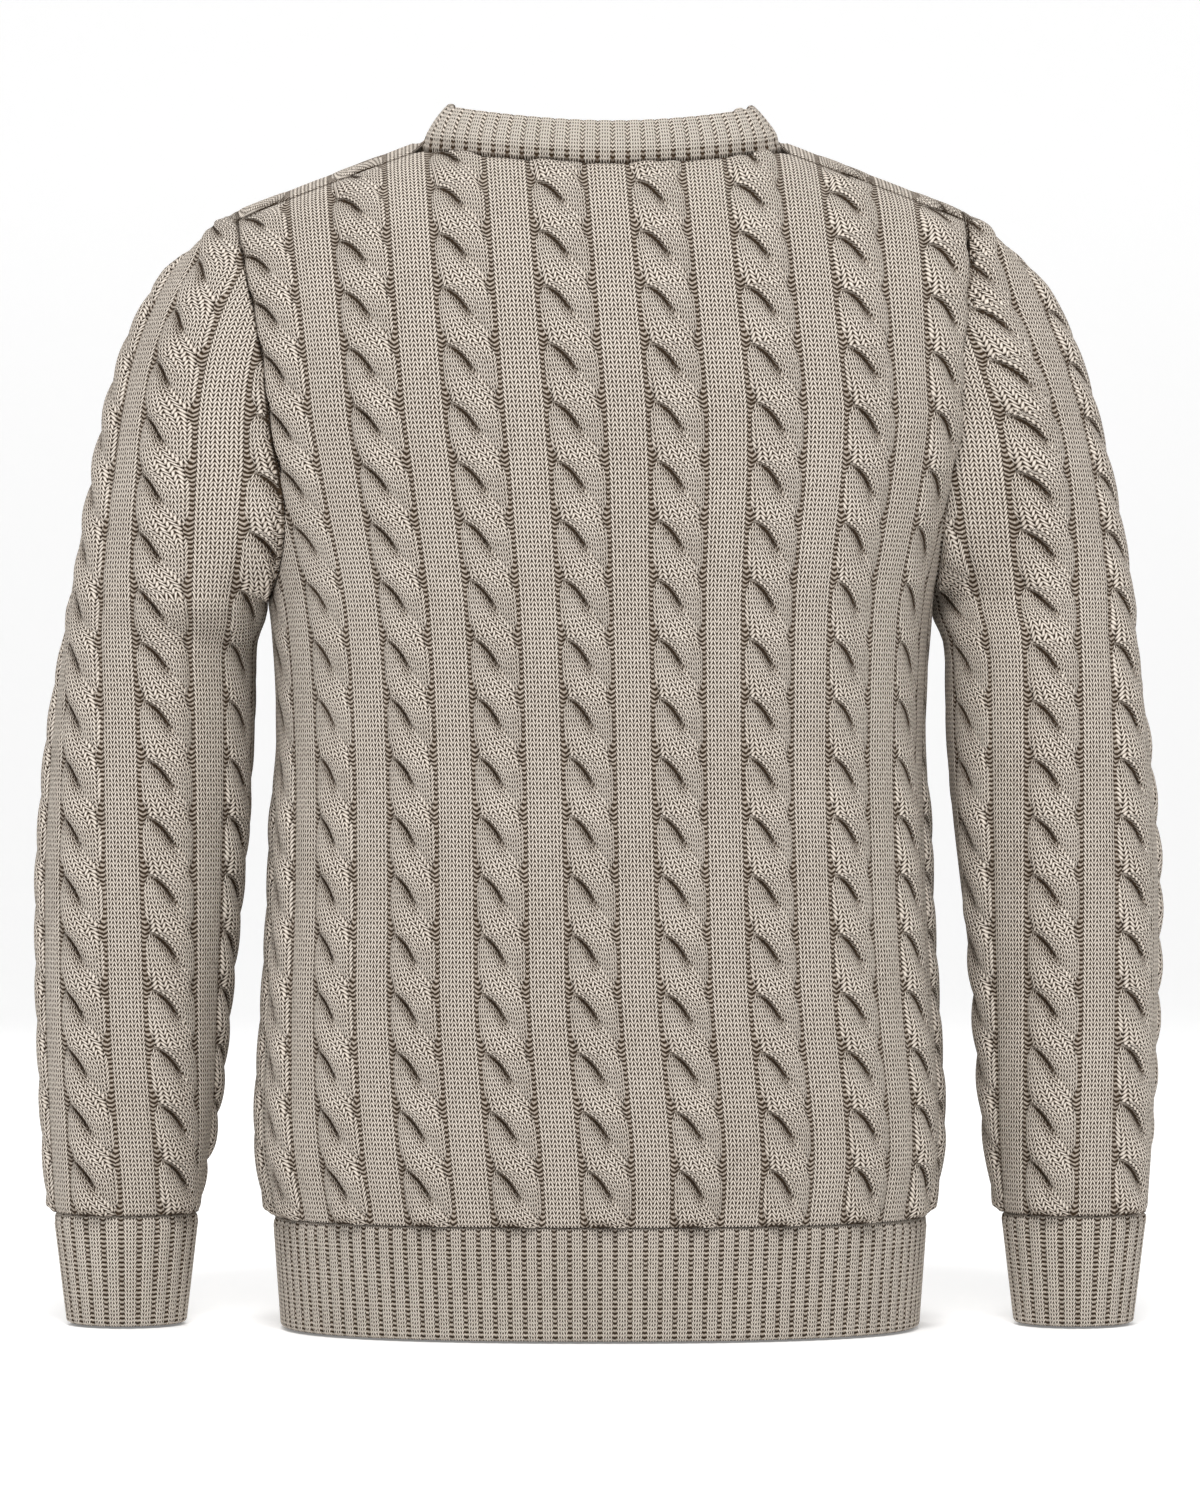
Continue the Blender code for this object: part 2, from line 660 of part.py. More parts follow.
INNER_ROWS = 0.045
ARMHOLE_ROWS = 0.011       # closer rows on the armhole's edge, where the sleeve lies a seam gap away
CLOSE_FROM_LEVEL = 0.85
UNDERARM_WALES = (0.2182, 0.2232, 0.2282, 0.2556)   # more wales where the armhole curves


def panel_skin(wall, panel, columns, depth, label):
    """Faces of one skin of the back or front. Outside the armhole's straight edge the strips stop lower."""
    inset = INNER_INSET if depth else 0.0
    armhole_w = ARMHOLE_W - inset

    def chain(w, shear, kind):
        low, high = SEAM_GAP, panel.top(w, inset)
        if depth == 0:
            rows = course_rows(shear, kind, low, high, panel.course_of(w, CLOSE_FROM_LEVEL))
        else:
            rows = plain_rows(low, high, INNER_ROWS)
        if abs(abs(w) - armhole_w) < 1e-6:
            cut = panel.straight_edge_low(w) - inset
            edge = plain_rows(cut, high, ARMHOLE_ROWS)
            rows = [row for row in rows if row[0] < cut - 0.004] + edge
        side_fade = float(smooth_step((PANEL_HALF - abs(w)) / SEAM_FADE))
        result = []
        for c, height in rows:
            def make(w=w, c=c, height=height * side_fade):
                point, normal = panel.place(w, c), panel.normal(w, c)
                facing = normal[0] * math.copysign(1.0, point[0])
                return point + normal * (height * pressed(facing, point[2]) - depth)
            result.append((wall.vertex((label, w, round(float(c), 6)), make), float(c), shear))
        return result

    faces = []
    chains = [(w, chain(w, shear, kind)) for w, shear, kind in columns]
    for (left_w, left), (right_w, right) in zip(chains, chains[1:]):
        middle = 0.5 * (left_w + right_w)
        if middle > armhole_w and abs(left_w - armhole_w) < 1e-6:
            left = [row for row in left if row[1] <= panel.straight_edge_low(left_w) - inset + 1e-6]
        if middle < -armhole_w and abs(right_w + armhole_w) < 1e-6:
            right = [row for row in right if row[1] <= panel.straight_edge_low(right_w) - inset + 1e-6]
        on_cable = right_w - left_w > GUTTER * 1.2 and (left[0][2] or right[0][2]) and depth == 0
        shift = TWIST if on_cable else 0.0
        left = [(v, c + s * shift) for v, c, s in left]
        right = [(v, c + s * shift) for v, c, s in right]
        wall.zip_chains(faces, left, right)
    wall.add_skin(faces, depth == 0)


def panel_wall(panel):
    wall = Wall()
    edge = PANEL_HALF - SEAM_GAP / 2
    neck = [-NECK_HALF, NECK_HALF, 0.0, -BODY_REPEAT, BODY_REPEAT]
    outer = cable_columns(BODY_REPEAT, edge, neck + [sign * w for w in UNDERARM_WALES for sign in (-1, 1)])
    ends = [(-edge, 0.0, "flat")], [(edge, 0.0, "flat")]
    panel_skin(wall, panel, ends[0] + outer + ends[1], 0.0, "outer")
    corners = [ARMHOLE_W - INNER_INSET, NECK_HALF + INNER_INSET, NECK_HALF - 0.006]
    even = [k * BODY_REPEAT / 2 for k in range(8)]
    inner_half = sorted(corners + [w for w in even if min(abs(w - corner) for corner in corners[:2]) > 0.008]
                        + list(UNDERARM_WALES) + [UNDERARM_WALES[2] + 0.0110])
    inner = [-w for w in reversed(inner_half) if w] + inner_half
    inner_edge = edge - INNER_INSET
    inner = [-inner_edge] + inner + [inner_edge]
    panel_skin(wall, panel, [(w, 0.0, "flat") for w in inner], WALL, "inner")
    wall.close()
    return wall


SEAM_ROW_STEP = 6
FIRST_FAN_ROW = 60
BEND_FROM_W = 0.06         # wales further from the middle line than this bend sharply at the underarm's level
NEAR_UNDERARM_ROWS = (51, 56, FIRST_FAN_ROW)                              # ring numbers
UNDERARM_FAN_ROWS = (51, 55, 58, FIRST_FAN_ROW, 63, 67, 72)
SLEEVE_INNER_ROWS = (12, 24, 36, 45, 51, 56, 60, 64, 69, 76, 84, 92)


def sleeve_skin(wall, sleeve, columns, depth, label):
    """Faces of one skin of a sleeve. Its two sides share their points on the underarm seam."""
    row_numbers = np.arange(len(sleeve.rings))
    seam_rows = list(range(0, FIRST_FAN_ROW - 5, SEAM_ROW_STEP)) + list(NEAR_UNDERARM_ROWS)
    inset = INNER_INSET if depth else 0.0

    def seam_vertex(row):
        def make():
            point = grid_read(sleeve.half_grids[0], float(row), sleeve.half_grids[0].shape[1] - 1.0)
            normals = []
            for sign, width in ((-1, sleeve.half_width(-1)), (1, sleeve.half_width(1))):
                w = sign * (width - 0.003)
                c = float(np.interp(row, row_numbers, sleeve.column(w)[0]))
                normals.append(sleeve.normal(w, min(c, sleeve.top(w) - 0.002)))
            normal = normals[0] + normals[1]
            lift = np.array([0.0, 0.0, SEAM_GAP]) if row == 0 else 0.0
            return point + lift - normal / np.linalg.norm(normal) * depth
        return wall.vertex((label, "seam", row), make)

    def seam_chain(w):
        """The seam up to the underarm, with course lengths read beside wale w."""
        courses = sleeve.column(w)[0]
        return [(seam_vertex(row), float(np.interp(row, row_numbers, courses)), 0.0) for row in seam_rows]

    def outer_rows(w, shear, kind, low, high):
        underarm = float(np.interp(FIRST_FAN_ROW - 5, row_numbers, sleeve.column(w)[0]))
        rows = course_rows(shear, kind, low, high, underarm)
        share = abs(w) / sleeve.half_width(w)
        marks = UNDERARM_FAN_ROWS if share > 0.80 else NEAR_UNDERARM_ROWS if share > 0.5 else ()
        marks = (FIRST_FAN_ROW,) if not marks and abs(w) > BEND_FROM_W else marks
        level = STRAND_LOW if kind == "strand" else FLAT_HIGH if kind == "flat" else 0.0
        for c in np.interp(marks, row_numbers, sleeve.column(w)[0]):
            if low + 0.006 < c < high - 0.004:
                kept = [row for row in rows[1:-1] if abs(row[0] - c) > 0.0045]
                rows = sorted([rows[0], *kept, (float(c), level), rows[-1]])
        return rows

    def chain(w, shear, kind):
        low, high = SEAM_GAP, sleeve.top(w) - inset
        if depth == 0:
            rows = outer_rows(w, shear, kind, low, high)
        else:
            marks = np.interp(SLEEVE_INNER_ROWS, row_numbers, sleeve.column(w)[0])
            rows = [(low, 0.0), *((c, 0.0) for c in marks if low + 0.004 < c < high - 0.004), (high, 0.0)]
        side_fade = float(smooth_step((sleeve.half_width(w) - abs(w)) / SEAM_FADE))
        result = []
        for c, height in rows:
            def make(w=w, c=c, height=height * side_fade):
                normal = sleeve.edge_normal(w) if c == high else sleeve.normal(w, c)
                point = sleeve.place(w, c)
                return point + normal * (height * pressed(-sleeve.side * normal[0], point[2]) - depth)
            result.append((wall.vertex((label, w, round(float(c), 6)), make), float(c), shear))
        return result

    faces = []
    lines = [(w, chain(w, shear, kind)) for w, shear, kind in columns]
    lines = [(-1.0, seam_chain(columns[0][0])), *lines, (1.0, seam_chain(columns[-1][0]))]
    for (left_w, left), (right_w, right) in zip(lines, lines[1:]):
        on_cable = right_w - left_w > GUTTER * 1.2 and (left[-1][2] or right[-1][2]) and depth == 0
        shift = TWIST if on_cable and abs(left_w) < 1 and abs(right_w) < 1 else 0.0
        left = [(v, c + s * shift) for v, c, s in left]
        right = [(v, c + s * shift) for v, c, s in right]
        wall.zip_chains(faces, left, right)
    wall.add_skin(faces, depth == 0)


def sleeve_wall(sleeve):
    wall = Wall()

    def inside(columns, margin):
        return [entry for entry in columns
                if -sleeve.half_width(-1) + margin < entry[0] < sleeve.half_width(1) - margin]

    back_sign = -sleeve.side
    near_seam = [back_sign * (SLEEVE_BACK_W - 0.0036), back_sign * (SLEEVE_BACK_W - 0.0014),
                 back_sign * (SLEEVE_BACK_W - 0.0070), back_sign * (SLEEVE_BACK_W - 0.0110),
                 -back_sign * (SLEEVE_FRONT_W - 0.0050), -back_sign * (SLEEVE_FRONT_W - 0.0100)]
    outer = inside(cable_columns(SLEEVE_REPEAT, 6 * SLEEVE_REPEAT, [0.0] + near_seam), 0.001)
    plain = [k * SLEEVE_REPEAT / 2 for k in range(-12, 13)]
    plain = [w for w in plain if all(abs(w - other) > 0.010 for other in near_seam)] + near_seam
    plain += [back_sign * (SLEEVE_BACK_W - 0.0080), back_sign * (SLEEVE_BACK_W - 0.0150)]
    sleeve_skin(wall, sleeve, outer, 0.0, "outer")
    sleeve_skin(wall, sleeve, inside([(w, 0.0, "flat") for w in sorted(plain)], 0.001), WALL, "inner")
    wall.close()
    return wall


# ------------------------------------------------------------------------------------------ ribbed pieces
def ring_skin(wall, rings, outward):
    """Faces between closed rings of points, listed upwards, each running to the right as seen from
    outside."""
    numbers = []
    for ring in rings:
        numbers.append([len(wall.points) + k for k in range(len(ring))])
        wall.points += [np.asarray(point, float) for point in ring]
    faces = []
    for low, high in zip(numbers, numbers[1:]):
        count = len(low)
        for k in range(count):
            a, b = low[k], low[(k + 1) % count]
            c, d = high[(k + 1) % count], high[k]
            faces += [(a, b, c), (a, c, d)]
    wall.add_skin(faces, outward)


def ring_normals(ring, upward):
    across = np.roll(ring, -1, axis=0) - np.roll(ring, 1, axis=0)
    normal = np.cross(across, upward)
    return normal / np.linalg.norm(normal, axis=1)[:, None]


def rib_tube(ring_at, profile, ribs, plain_count):
    """A ribbed tube: ring_at(row, count) gives a ring's points, and profile its heights from low to high."""
    wall = Wall()
    upward = np.array([0.0, 0.0, 1.0])
    crests = np.where(np.arange(2 * ribs) % 2 == 0, RIB_HIGH, 0.0)[:, None]
    outer = []
    for row in profile:
        ring = ring_at(row, 2 * ribs)
        outer.append(ring + ring_normals(ring, upward) * crests * row[-1])
    inner = []
    for row in profile:
        ring = ring_at(row, plain_count)
        inner.append(ring - ring_normals(ring, upward) * RIB_WALL)
    ring_skin(wall, outer, True)
    ring_skin(wall, inner, False)
    wall.close()
    return wall


def body_ring(row, count):
    height, half_width, depth_back, depth_front, rib_share = row
    quarters = [quarter_section(half_width, depth_back), quarter_section(half_width, depth_front)]
    points = []
    for around in np.arange(count) * 4.0 / count - 2.0:
        share = abs(around)
        quarter = quarters[1 if share > 1.0 else 0]
        share = 2.0 - share if share > 1.0 else share
        x, y = (np.interp(share, np.linspace(0, 1, QUARTER_POINTS), quarter[:, axis]) for axis in (0, 1))
        points.append((math.copysign(x, around), y if abs(around) > 1.0 else -y, height))
    return np.array(points)


def cuff_ring(side):
    def ring(row, count):
        height, centre, half_width, half_depth, forward, rib_share = row
        angle = np.arange(count) * 2 * math.pi / count
        return np.stack([side * centre + half_width * np.cos(angle),
                         forward + half_depth * np.sin(angle), np.full(count, height)], axis=1)
    return ring


def soften(vectors, times):
    """Unit vectors round a ring, averaged with their neighbours."""
    for _ in range(times):
        vectors = (np.roll(vectors, 1, axis=0) + 2 * vectors + np.roll(vectors, -1, axis=0)) / 4
    return vectors / np.linalg.norm(vectors, axis=1)[:, None]


def neck_edge(panels):
    """The neck opening: the panels' own edge points and their normals, once round to the right."""
    points, normals = [], []
    for panel in panels:
        extra = [-NECK_HALF, NECK_HALF, 0.0, -BODY_REPEAT, BODY_REPEAT]
        for w, shear, kind in cable_columns(BODY_REPEAT, PANEL_HALF, extra):
            if abs(w) > NECK_HALF + 1e-6 or (w > 0 and abs(w - NECK_HALF) < 1e-6):
                continue
            c = panel.top(w)
            points.append(panel.place(w, c))
            normals.append(panel.normal(w, c))
    return np.array(points), np.array(normals)


def neckband_wall(panels):
    """The band stands on the panels' own edge and leans in. Its outer and inner rings share one fine
    layout."""
    points, normals = neck_edge(panels)
    both = np.concatenate([points, normals], axis=1)
    both = np.concatenate([both, both[:1]])
    steps = np.linalg.norm(np.diff(both[:, :3], axis=0), axis=1)
    along = np.concatenate([[0.0], np.cumsum(steps)])
    count = 2 * BAND_RIBS * BAND_FINE
    wanted = np.arange(count) * along[-1] / count
    base = np.stack([np.interp(wanted, along, both[:, axis]) for axis in range(6)], axis=1)
    edge, outward = base[:, :3], base[:, 3:] / np.linalg.norm(base[:, 3:], axis=1)[:, None]
    tangent = np.roll(edge, -1, axis=0) - np.roll(edge, 1, axis=0)
    tangent = soften(tangent, BAND_FINE * 8)
    hole = soften(np.cross(outward, tangent), BAND_FINE * 2)
    level_tangent = tangent * np.array([1.0, 1.0, 0.0])
    inward = soften(np.cross(np.array([0.0, 0.0, 1.0]), level_tangent), BAND_FINE * 40)
    facings, rises, leans = zip(*BAND_STAND)
    rise, lean = (np.interp(inward[:, 1], facings, column)[:, None] for column in (rises, leans))
    upward = np.array([0.0, 0.0, 1.0]) * rise + inward * lean
    face = np.cross(tangent, upward)
    face /= np.linalg.norm(face, axis=1)[:, None]

    def rings(every, depth, ribs):
        result = []
        for share in (0.0, 0.14, 0.88, 1.0):
            ease = smooth_step(share / 0.4)
            normal = outward * (1 - ease) + face * ease
            normal /= np.linalg.norm(normal, axis=1)[:, None]
            bulge = BAND_BULGE * 4 * share * (1 - share)
            ring = edge + hole * BAND_CLEAR + upward * share + normal * (bulge - depth)
            height = smooth_step(min(share, 1.02 - share) / 0.10)
            result.append(ring[::every] + normal[::every] * ribs * height)
        return result

    wall = Wall()
    ribs = np.where(np.arange(2 * BAND_RIBS) % 2 == 0, BAND_RIB, 0.0)[:, None]
    ring_skin(wall, rings(BAND_FINE, 0.0, ribs), True)
    ring_skin(wall, rings(count // BAND_PLAIN, BAND_WALL, 0.0), False)
    wall.close()
    return wall


# ----------------------------------------------------------------------------------------------- assembly
def yarn_material(name, shade):
    material = bpy.data.materials.new(name)
    material.use_nodes = True
    surface = material.node_tree.nodes["Principled BSDF"]
    colour = tuple(channel * shade for channel in YARN_COLOUR[:3])
    surface.inputs["Base Color"].default_value = (*colour, 1.0)
    surface.inputs["Roughness"].default_value = YARN_ROUGHNESS
    surface.inputs["Metallic"].default_value = 0.0
    return material


def main():
    for thing in list(bpy.data.objects):
        bpy.data.objects.remove(thing, do_unlink=True)
    collection = bpy.data.collections.new(COLLECTION_NAME)
    bpy.context.scene.collection.children.link(collection)
    cabled = yarn_material("yarn_cabled", 1.0)
    ribbed = yarn_material("yarn_ribbed", 0.94)

    back, front = BodyPanel(0), BodyPanel(2)
    panel_wall(back).build("back_panel", collection, cabled)
    panel_wall(front).build("front_panel", collection, cabled)
    for name, side in (("left", -1), ("right", 1)):
        sleeve_wall(Sleeve(side, back, front)).build(f"sleeve_{name}", collection, cabled)
        cuff = rib_tube(cuff_ring(side), sorted(CUFF_PROFILE), CUFF_RIBS, 24)
        cuff.build(f"cuff_{name}", collection, ribbed)
    rib_tube(body_ring, sorted(HEM_PROFILE), HEM_RIBS, 48).build("hem_rib", collection, ribbed)
    neckband_wall((back, front)).build("neckband", collection, ribbed)


main()
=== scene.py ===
"""The looks of the cable knit sweater: each knitted piece as a hollow cloth shell with its cables, flat panels
and ribs in relief, in a matte melange cotton yarn, standing open on a pale floor.

Metres, +Z up. The wearer faces +Y and +X is the wearer's right. Every cloth is laid out in two knit directions:
w, across the wales, to the right as seen from outside, and c, along the courses, upwards.
"""

import math

import bpy
import numpy as np
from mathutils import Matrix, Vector


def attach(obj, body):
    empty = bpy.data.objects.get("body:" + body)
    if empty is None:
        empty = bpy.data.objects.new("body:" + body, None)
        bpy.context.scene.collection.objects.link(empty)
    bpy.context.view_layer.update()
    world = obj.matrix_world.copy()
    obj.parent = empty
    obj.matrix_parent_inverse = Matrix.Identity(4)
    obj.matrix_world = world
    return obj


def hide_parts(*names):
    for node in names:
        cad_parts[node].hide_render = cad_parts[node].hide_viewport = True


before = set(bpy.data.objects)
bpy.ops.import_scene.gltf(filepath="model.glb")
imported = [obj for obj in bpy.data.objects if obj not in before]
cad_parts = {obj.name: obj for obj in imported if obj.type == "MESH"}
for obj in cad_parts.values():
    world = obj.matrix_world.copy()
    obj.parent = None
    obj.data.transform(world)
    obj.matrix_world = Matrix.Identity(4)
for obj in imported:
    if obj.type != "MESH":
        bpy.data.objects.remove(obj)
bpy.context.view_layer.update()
MM = 1000.0                # millimetres in a metre: the yarn is told its distances in millimetres
UP = np.array([0.0, 0.0, 1.0])

# Cloth
WALL = 0.0024              # outer form to plain inside
SEAM_GAP = 0.00015         # from a piece's edge to the middle of its seam
RIB_TOP_Z = -0.6180
HEM_Z = -0.6820
FLOOR_Z = HEM_Z - 0.0012

# Stitches
WALE = 0.0045              # width of a stitch
COURSE = 0.0027            # height of a stitch
RIB_COURSE = 0.0023        # height of a stitch on ribs
FLAT_WALES = 5             # stitches across a flat panel
STRAND_WALES = 5           # stitches across one strand of a cable

# Cable pattern
BODY_REPEAT = 0.0558       # one cable and one flat panel
SLEEVE_REPEAT = 0.0536
CABLE_HALF = 0.0148
GUTTER = 0.0022            # purl wales between a cable and a flat panel
TWIST = 0.0330             # length of one strand crossing
FLAT_HIGH = 0.0013
FLAT_ROUND = (8.0, 0.5)    # powers of rounded()
ROPE_ROUND = (3.2, 0.6)
NOTCH = 0.20               # the rope's edge pulls in beside the ends of a crease, in half widths
NOTCH_REACH = 0.17         # and over this much of a twist
NOTCH_SHIFT = 0.05         # from a crease's end towards the rope's middle, in twists

# A strand from under one crease, 0, to the next crease below, 1
STRAND_LOW = 0.0012
STRAND_RISE = 0.0046
STRAND_CREST = 0.62        # where it is highest
CREST_LEAN = 0.10          # and how much nearer the crease above that lies towards the cable's right
CREST_LEAN_FROM = -0.4     # right of this place across the cable
STRAND_POWER = 0.70
STRAND_ROUND = (2.4, 0.6)

# Creases
CREASE_LINE = (
    # place, drop: across a cable from its left edge (-1) to its right edge (1), how many twists a crease drops
    (-1.00, 0.00),
    (-0.75, 0.03),
    (-0.50, 0.10),
    (-0.25, 0.20),
    (0.00, 0.36),
    (0.20, 0.49),
    (0.50, 0.66),
    (0.75, 0.80),
    (1.00, 0.93),
)
CREASE_DROP = CREASE_LINE[-1][1]
CREASE_STARTS = (-0.85, -0.40)     # its painted shade grows dark between these places
CREASE_ENDS = (-0.10, 0.35)        # and runs out between these
CREASE_FIRST = 0.25                # how dark its painted shade is before it grows
CREASE_FILLS = (-0.05, 0.45)       # between these places its depth is filled
CREASE_FILLED = 0.58               # by this share

# Body: horizontal sections, back to front a superellipse. Above the underarm they run past the armhole cut.
SECTION_POWER = 2.4
PANEL_HALF = 5.0 * BODY_REPEAT
BODY_SECTIONS = (
    # height, half_width, depth_back, depth_front
    (-0.6180, 0.1870, 0.1150, 0.1190),
    (-0.5900, 0.1935, 0.1190, 0.1240),
    (-0.5600, 0.1945, 0.1210, 0.1260),
    (-0.5060, 0.1910, 0.1220, 0.1270),
    (-0.4370, 0.1870, 0.1220, 0.1280),
    (-0.3680, 0.1855, 0.1220, 0.1300),
    (-0.3100, 0.1870, 0.1240, 0.1330),
    (-0.2645, 0.1905, 0.1260, 0.1350),
    (-0.2100, 0.2060, 0.1280, 0.1350),
    (-0.1600, 0.2180, 0.1280, 0.1330),
)
DRIFT = (
    # height, turn: the wales lean round the body, further the lower they are
    (-0.6180, 0.0330),
    (-0.5800, 0.0320),
    (-0.4950, 0.0240),
    (-0.3080, 0.0200),
    (-0.1870, 0.0160),
    (-0.1600, 0.0140),
)
TABLE_BLEND = 0.016        # tables are rounded off over this half height

# Shoulders: the sections close over a ridge along a superellipse
SHOULDER_START_Z = -0.1600
SHOULDER_POWER = 2.2
NECK_HALF = 0.1025
SHOULDER_SLOPE = 0.378
SHOULDER_END = 0.985               # the ridge ends at this share of the half width
SEAM_BEHIND = math.radians(69.5)   # the shoulder seam lies behind the ridge
SLEEVE_TOP = math.radians(83.8)    # where the sleeve's middle line meets the armhole, nearer the ridge
BACK_NECK = math.radians(49.5)
FRONT_NECK = math.radians(22.0)
BACK_NECK_CURVE = 0.72             # 0.5 gives half an ellipse and 1 a parabola
FRONT_NECK_CURVE = 0.50
ARMHOLE_W = 3.5 * BODY_REPEAT + 0.0140
ARMHOLE_LOW_Z = -0.1950            # the armhole's straight edge ends here and its underarm curve starts
UNDERARM_Z = -0.2645

# Neckband
BAND_STAND = (
    # facing, rise, lean: how the band stands at the front (-1), at the sides (0) and at the back (1)
    (-1.0, 0.0205, 0.0148),
    (-0.6, 0.0200, 0.0158),
    (0.0, 0.0175, 0.0220),
    (0.4, 0.0270, 0.0180),
    (0.8, 0.0265, 0.0130),
    (1.0, 0.0250, 0.0120),
)
BAND_HEIGHT = 0.0277       # along the cloth
BAND_BULGE = 0.0026
BAND_RIBS = 85
BAND_RIB_HIGH = 0.0020
BAND_FOOT = 0.4            # up to this share of its height the band turns out of the shoulders' own slope
BAND_GAP = 1.3 * SEAM_GAP

# Ribs below
HEM_RIBS = 116
CUFF_RIBS = 24
RIB_HIGH = 0.0021
RIB_ROUND = (2.6, 0.6)
RIB_OPEN = 0.70            # the knit wales' share of a rib's width; the rest is a purl groove
EDGE_ROUND = 0.0022        # the cast-on edge is rounded over this height
HEM_PROFILE = (
    # height, half_width, depth_back, depth_front
    (RIB_TOP_Z, 0.1865, 0.1146, 0.1186),
    (-0.6250, 0.1859, 0.1142, 0.1182),
    (-0.6785, 0.1820, 0.1114, 0.1154),
    (HEM_Z, 0.1817, 0.1111, 0.1151),
)

# Sleeves: rings turn about the underarm point from the armhole to level, then stay level down to the cuff
SLEEVE_OUTER = (
    # level, out, height: the sleeve's outermost line above the underarm
    (1.00, 0.2110, -0.0425),
    (0.93, 0.2290, -0.0540),
    (0.84, 0.2480, -0.0750),
    (0.70, 0.2680, -0.1120),
    (0.55, 0.2800, -0.1480),
    (0.35, 0.2925, -0.2000),
    (0.15, 0.3010, -0.2450),
    (0.00, 0.3040, -0.2645),
)
SLEEVE_SECTIONS = (
    # height, centre, half_width, half_depth, forward
    (-0.2645, 0.2475, 0.0565, 0.0520, 0.000),
    (-0.2850, 0.2530, 0.0540, 0.0545, 0.001),
    (-0.3160, 0.2552, 0.0562, 0.0560, 0.002),
    (-0.3510, 0.2580, 0.0580, 0.0570, 0.003),
    (-0.4200, 0.2649, 0.0563, 0.0560, 0.006),
    (-0.4890, 0.2692, 0.0520, 0.0520, 0.009),
    (-0.5580, 0.2715, 0.0475, 0.0475, 0.012),
    (-0.5920, 0.2731, 0.0440, 0.0440, 0.014),
    (-0.6180, 0.2744, 0.0408, 0.0410, 0.015),
)
CUFF_PROFILE = (
    # height, centre, half_width, half_depth, forward
    (RIB_TOP_Z, 0.2744, 0.0404, 0.0406, 0.015),
    (-0.6260, 0.2742, 0.0392, 0.0394, 0.015),
    (-0.6785, 0.2740, 0.0329, 0.0331, 0.015),
    (HEM_Z, 0.2740, 0.0325, 0.0327, 0.015),
)
SLEEVE_TURN = (
    # height, left, right: share of a half turn by which the wales lean to the back
    (-0.6180, 0.52, 0.40),
    (-0.4950, 0.45, 0.39),
    (-0.3200, 0.40, 0.36),
    (-0.2645, 0.36, 0.33),
    (-0.2000, 0.27, 0.26),
    (-0.1150, 0.13, 0.12),
    (-0.0425, 0.00, 0.00),
)
SEAM_TURN = 0.16           # the sleeve seam's own share of a half turn at the wrist
SEAM_TURN_START = 0.010    # it starts to turn this far below the underarm
SEAM_TURN_REACH = 0.330    # and has turned after this much more
UNDERARM_REACH = 0.024     # below the underarm the sleeve takes its own section over this height
SLEEVE_CABLE_LINE = (
    # height, left, right: how far out the middle cable of each sleeve's back runs
    (-0.5786, 0.2413, 0.2572),
    (-0.5100, 0.2441, 0.2583),
    (-0.3850, 0.2458, 0.2581),
    (-0.3226, 0.2470, 0.2580),
    (-0.2500, 0.2515, 0.2561),
    (-0.2093, 0.2504, 0.2543),
    (-0.1700, 0.2487, 0.2504),
    (-0.1450, 0.2466, 0.2418),
    (-0.1150, 0.2396, 0.2318),
    (-0.0893, 0.2299, 0.2202),
    (-0.0693, 0.2179, 0.2162),
)
SLEEVE_SPREAD = (
    # height, share: inside the cable line the wales are spread beside the armhole, and take this share of w
    (-0.300, 1.00),
    (-0.240, 0.80),
    (-0.190, 0.72),
)


# -------------------- small tools
def smooth_step(share):
    share = np.clip(share, 0.0, 1.0)
    return share * share * (3.0 - 2.0 * share)


def between(value, start, end):
    """0 before start, 1 past end and smooth between them."""
    return smooth_step((value - start) / (end - start))


def grow(left, share):
    """From what is left at first to the whole."""
    return left + (1.0 - left) * share


def rounded(off, power, end_power):
    """A rounded rise: 1 in the middle, where off is 0, and 0 where off is -1 or 1."""
    return np.clip(1.0 - np.abs(off) ** power, 0.0, 1.0) ** end_power


def table_columns(table):
    """A table's columns, with its rows in rising order of the first."""
    return np.array(sorted(table)).T


def read_profile(table, column, at):
    """A table's column at a height."""
    columns = table_columns(table)
    return np.interp(at, columns[0], columns[column])


def read_table(table, column, at):
    """A table's column at a height, its corners rounded off."""
    columns = table_columns(table)
    shifts = np.linspace(-TABLE_BLEND, TABLE_BLEND, 9)
    return sum(np.interp(np.asarray(at) + shift, columns[0], columns[column]) for shift in shifts) / len(shifts)


def grid_read(table, row, column):
    """Bilinear reading of a table of points or numbers at fractional row and column numbers."""
    row = np.clip(np.asarray(row, float), 0.0, table.shape[0] - 1.0001)
    column = np.clip(np.asarray(column, float), 0.0, table.shape[1] - 1.0001)
    low_row, low_column = row.astype(int), column.astype(int)
    down, across = row - low_row, column - low_column
    if table.ndim > 2:
        down, across = down[..., None], across[..., None]
    first = table[low_row, low_column] * (1 - across) + table[low_row, low_column + 1] * across
    second = table[low_row + 1, low_column] * (1 - across) + table[low_row + 1, low_column + 1] * across
    return first * (1 - down) + second * down


def length_along(points):
    """Length from a line's first point to each of its points."""
    steps = np.linalg.norm(np.diff(points, axis=0), axis=1)
    return np.concatenate([[0.0], np.cumsum(steps)])


def even_points(points, count):
    """A line's points, spaced evenly along it."""
    along = length_along(points)
    wanted = np.linspace(0.0, along[-1], count)
    return np.stack([np.interp(wanted, along, points[:, axis]) for axis in range(points.shape[1])], axis=1)


def unit(vectors):
    length = np.linalg.norm(vectors, axis=-1, keepdims=True)
    return vectors / np.maximum(length, 1e-12)


def grid_normals(points, closed=False):
    """Outward normals of a grid of points whose rows go up and whose columns go to the right."""
    up = np.gradient(points, axis=0)
    if closed:
        across = np.roll(points, -1, axis=1) - np.roll(points, 1, axis=1)
    else:
        across = np.gradient(points, axis=1)
    return unit(np.cross(across, up))


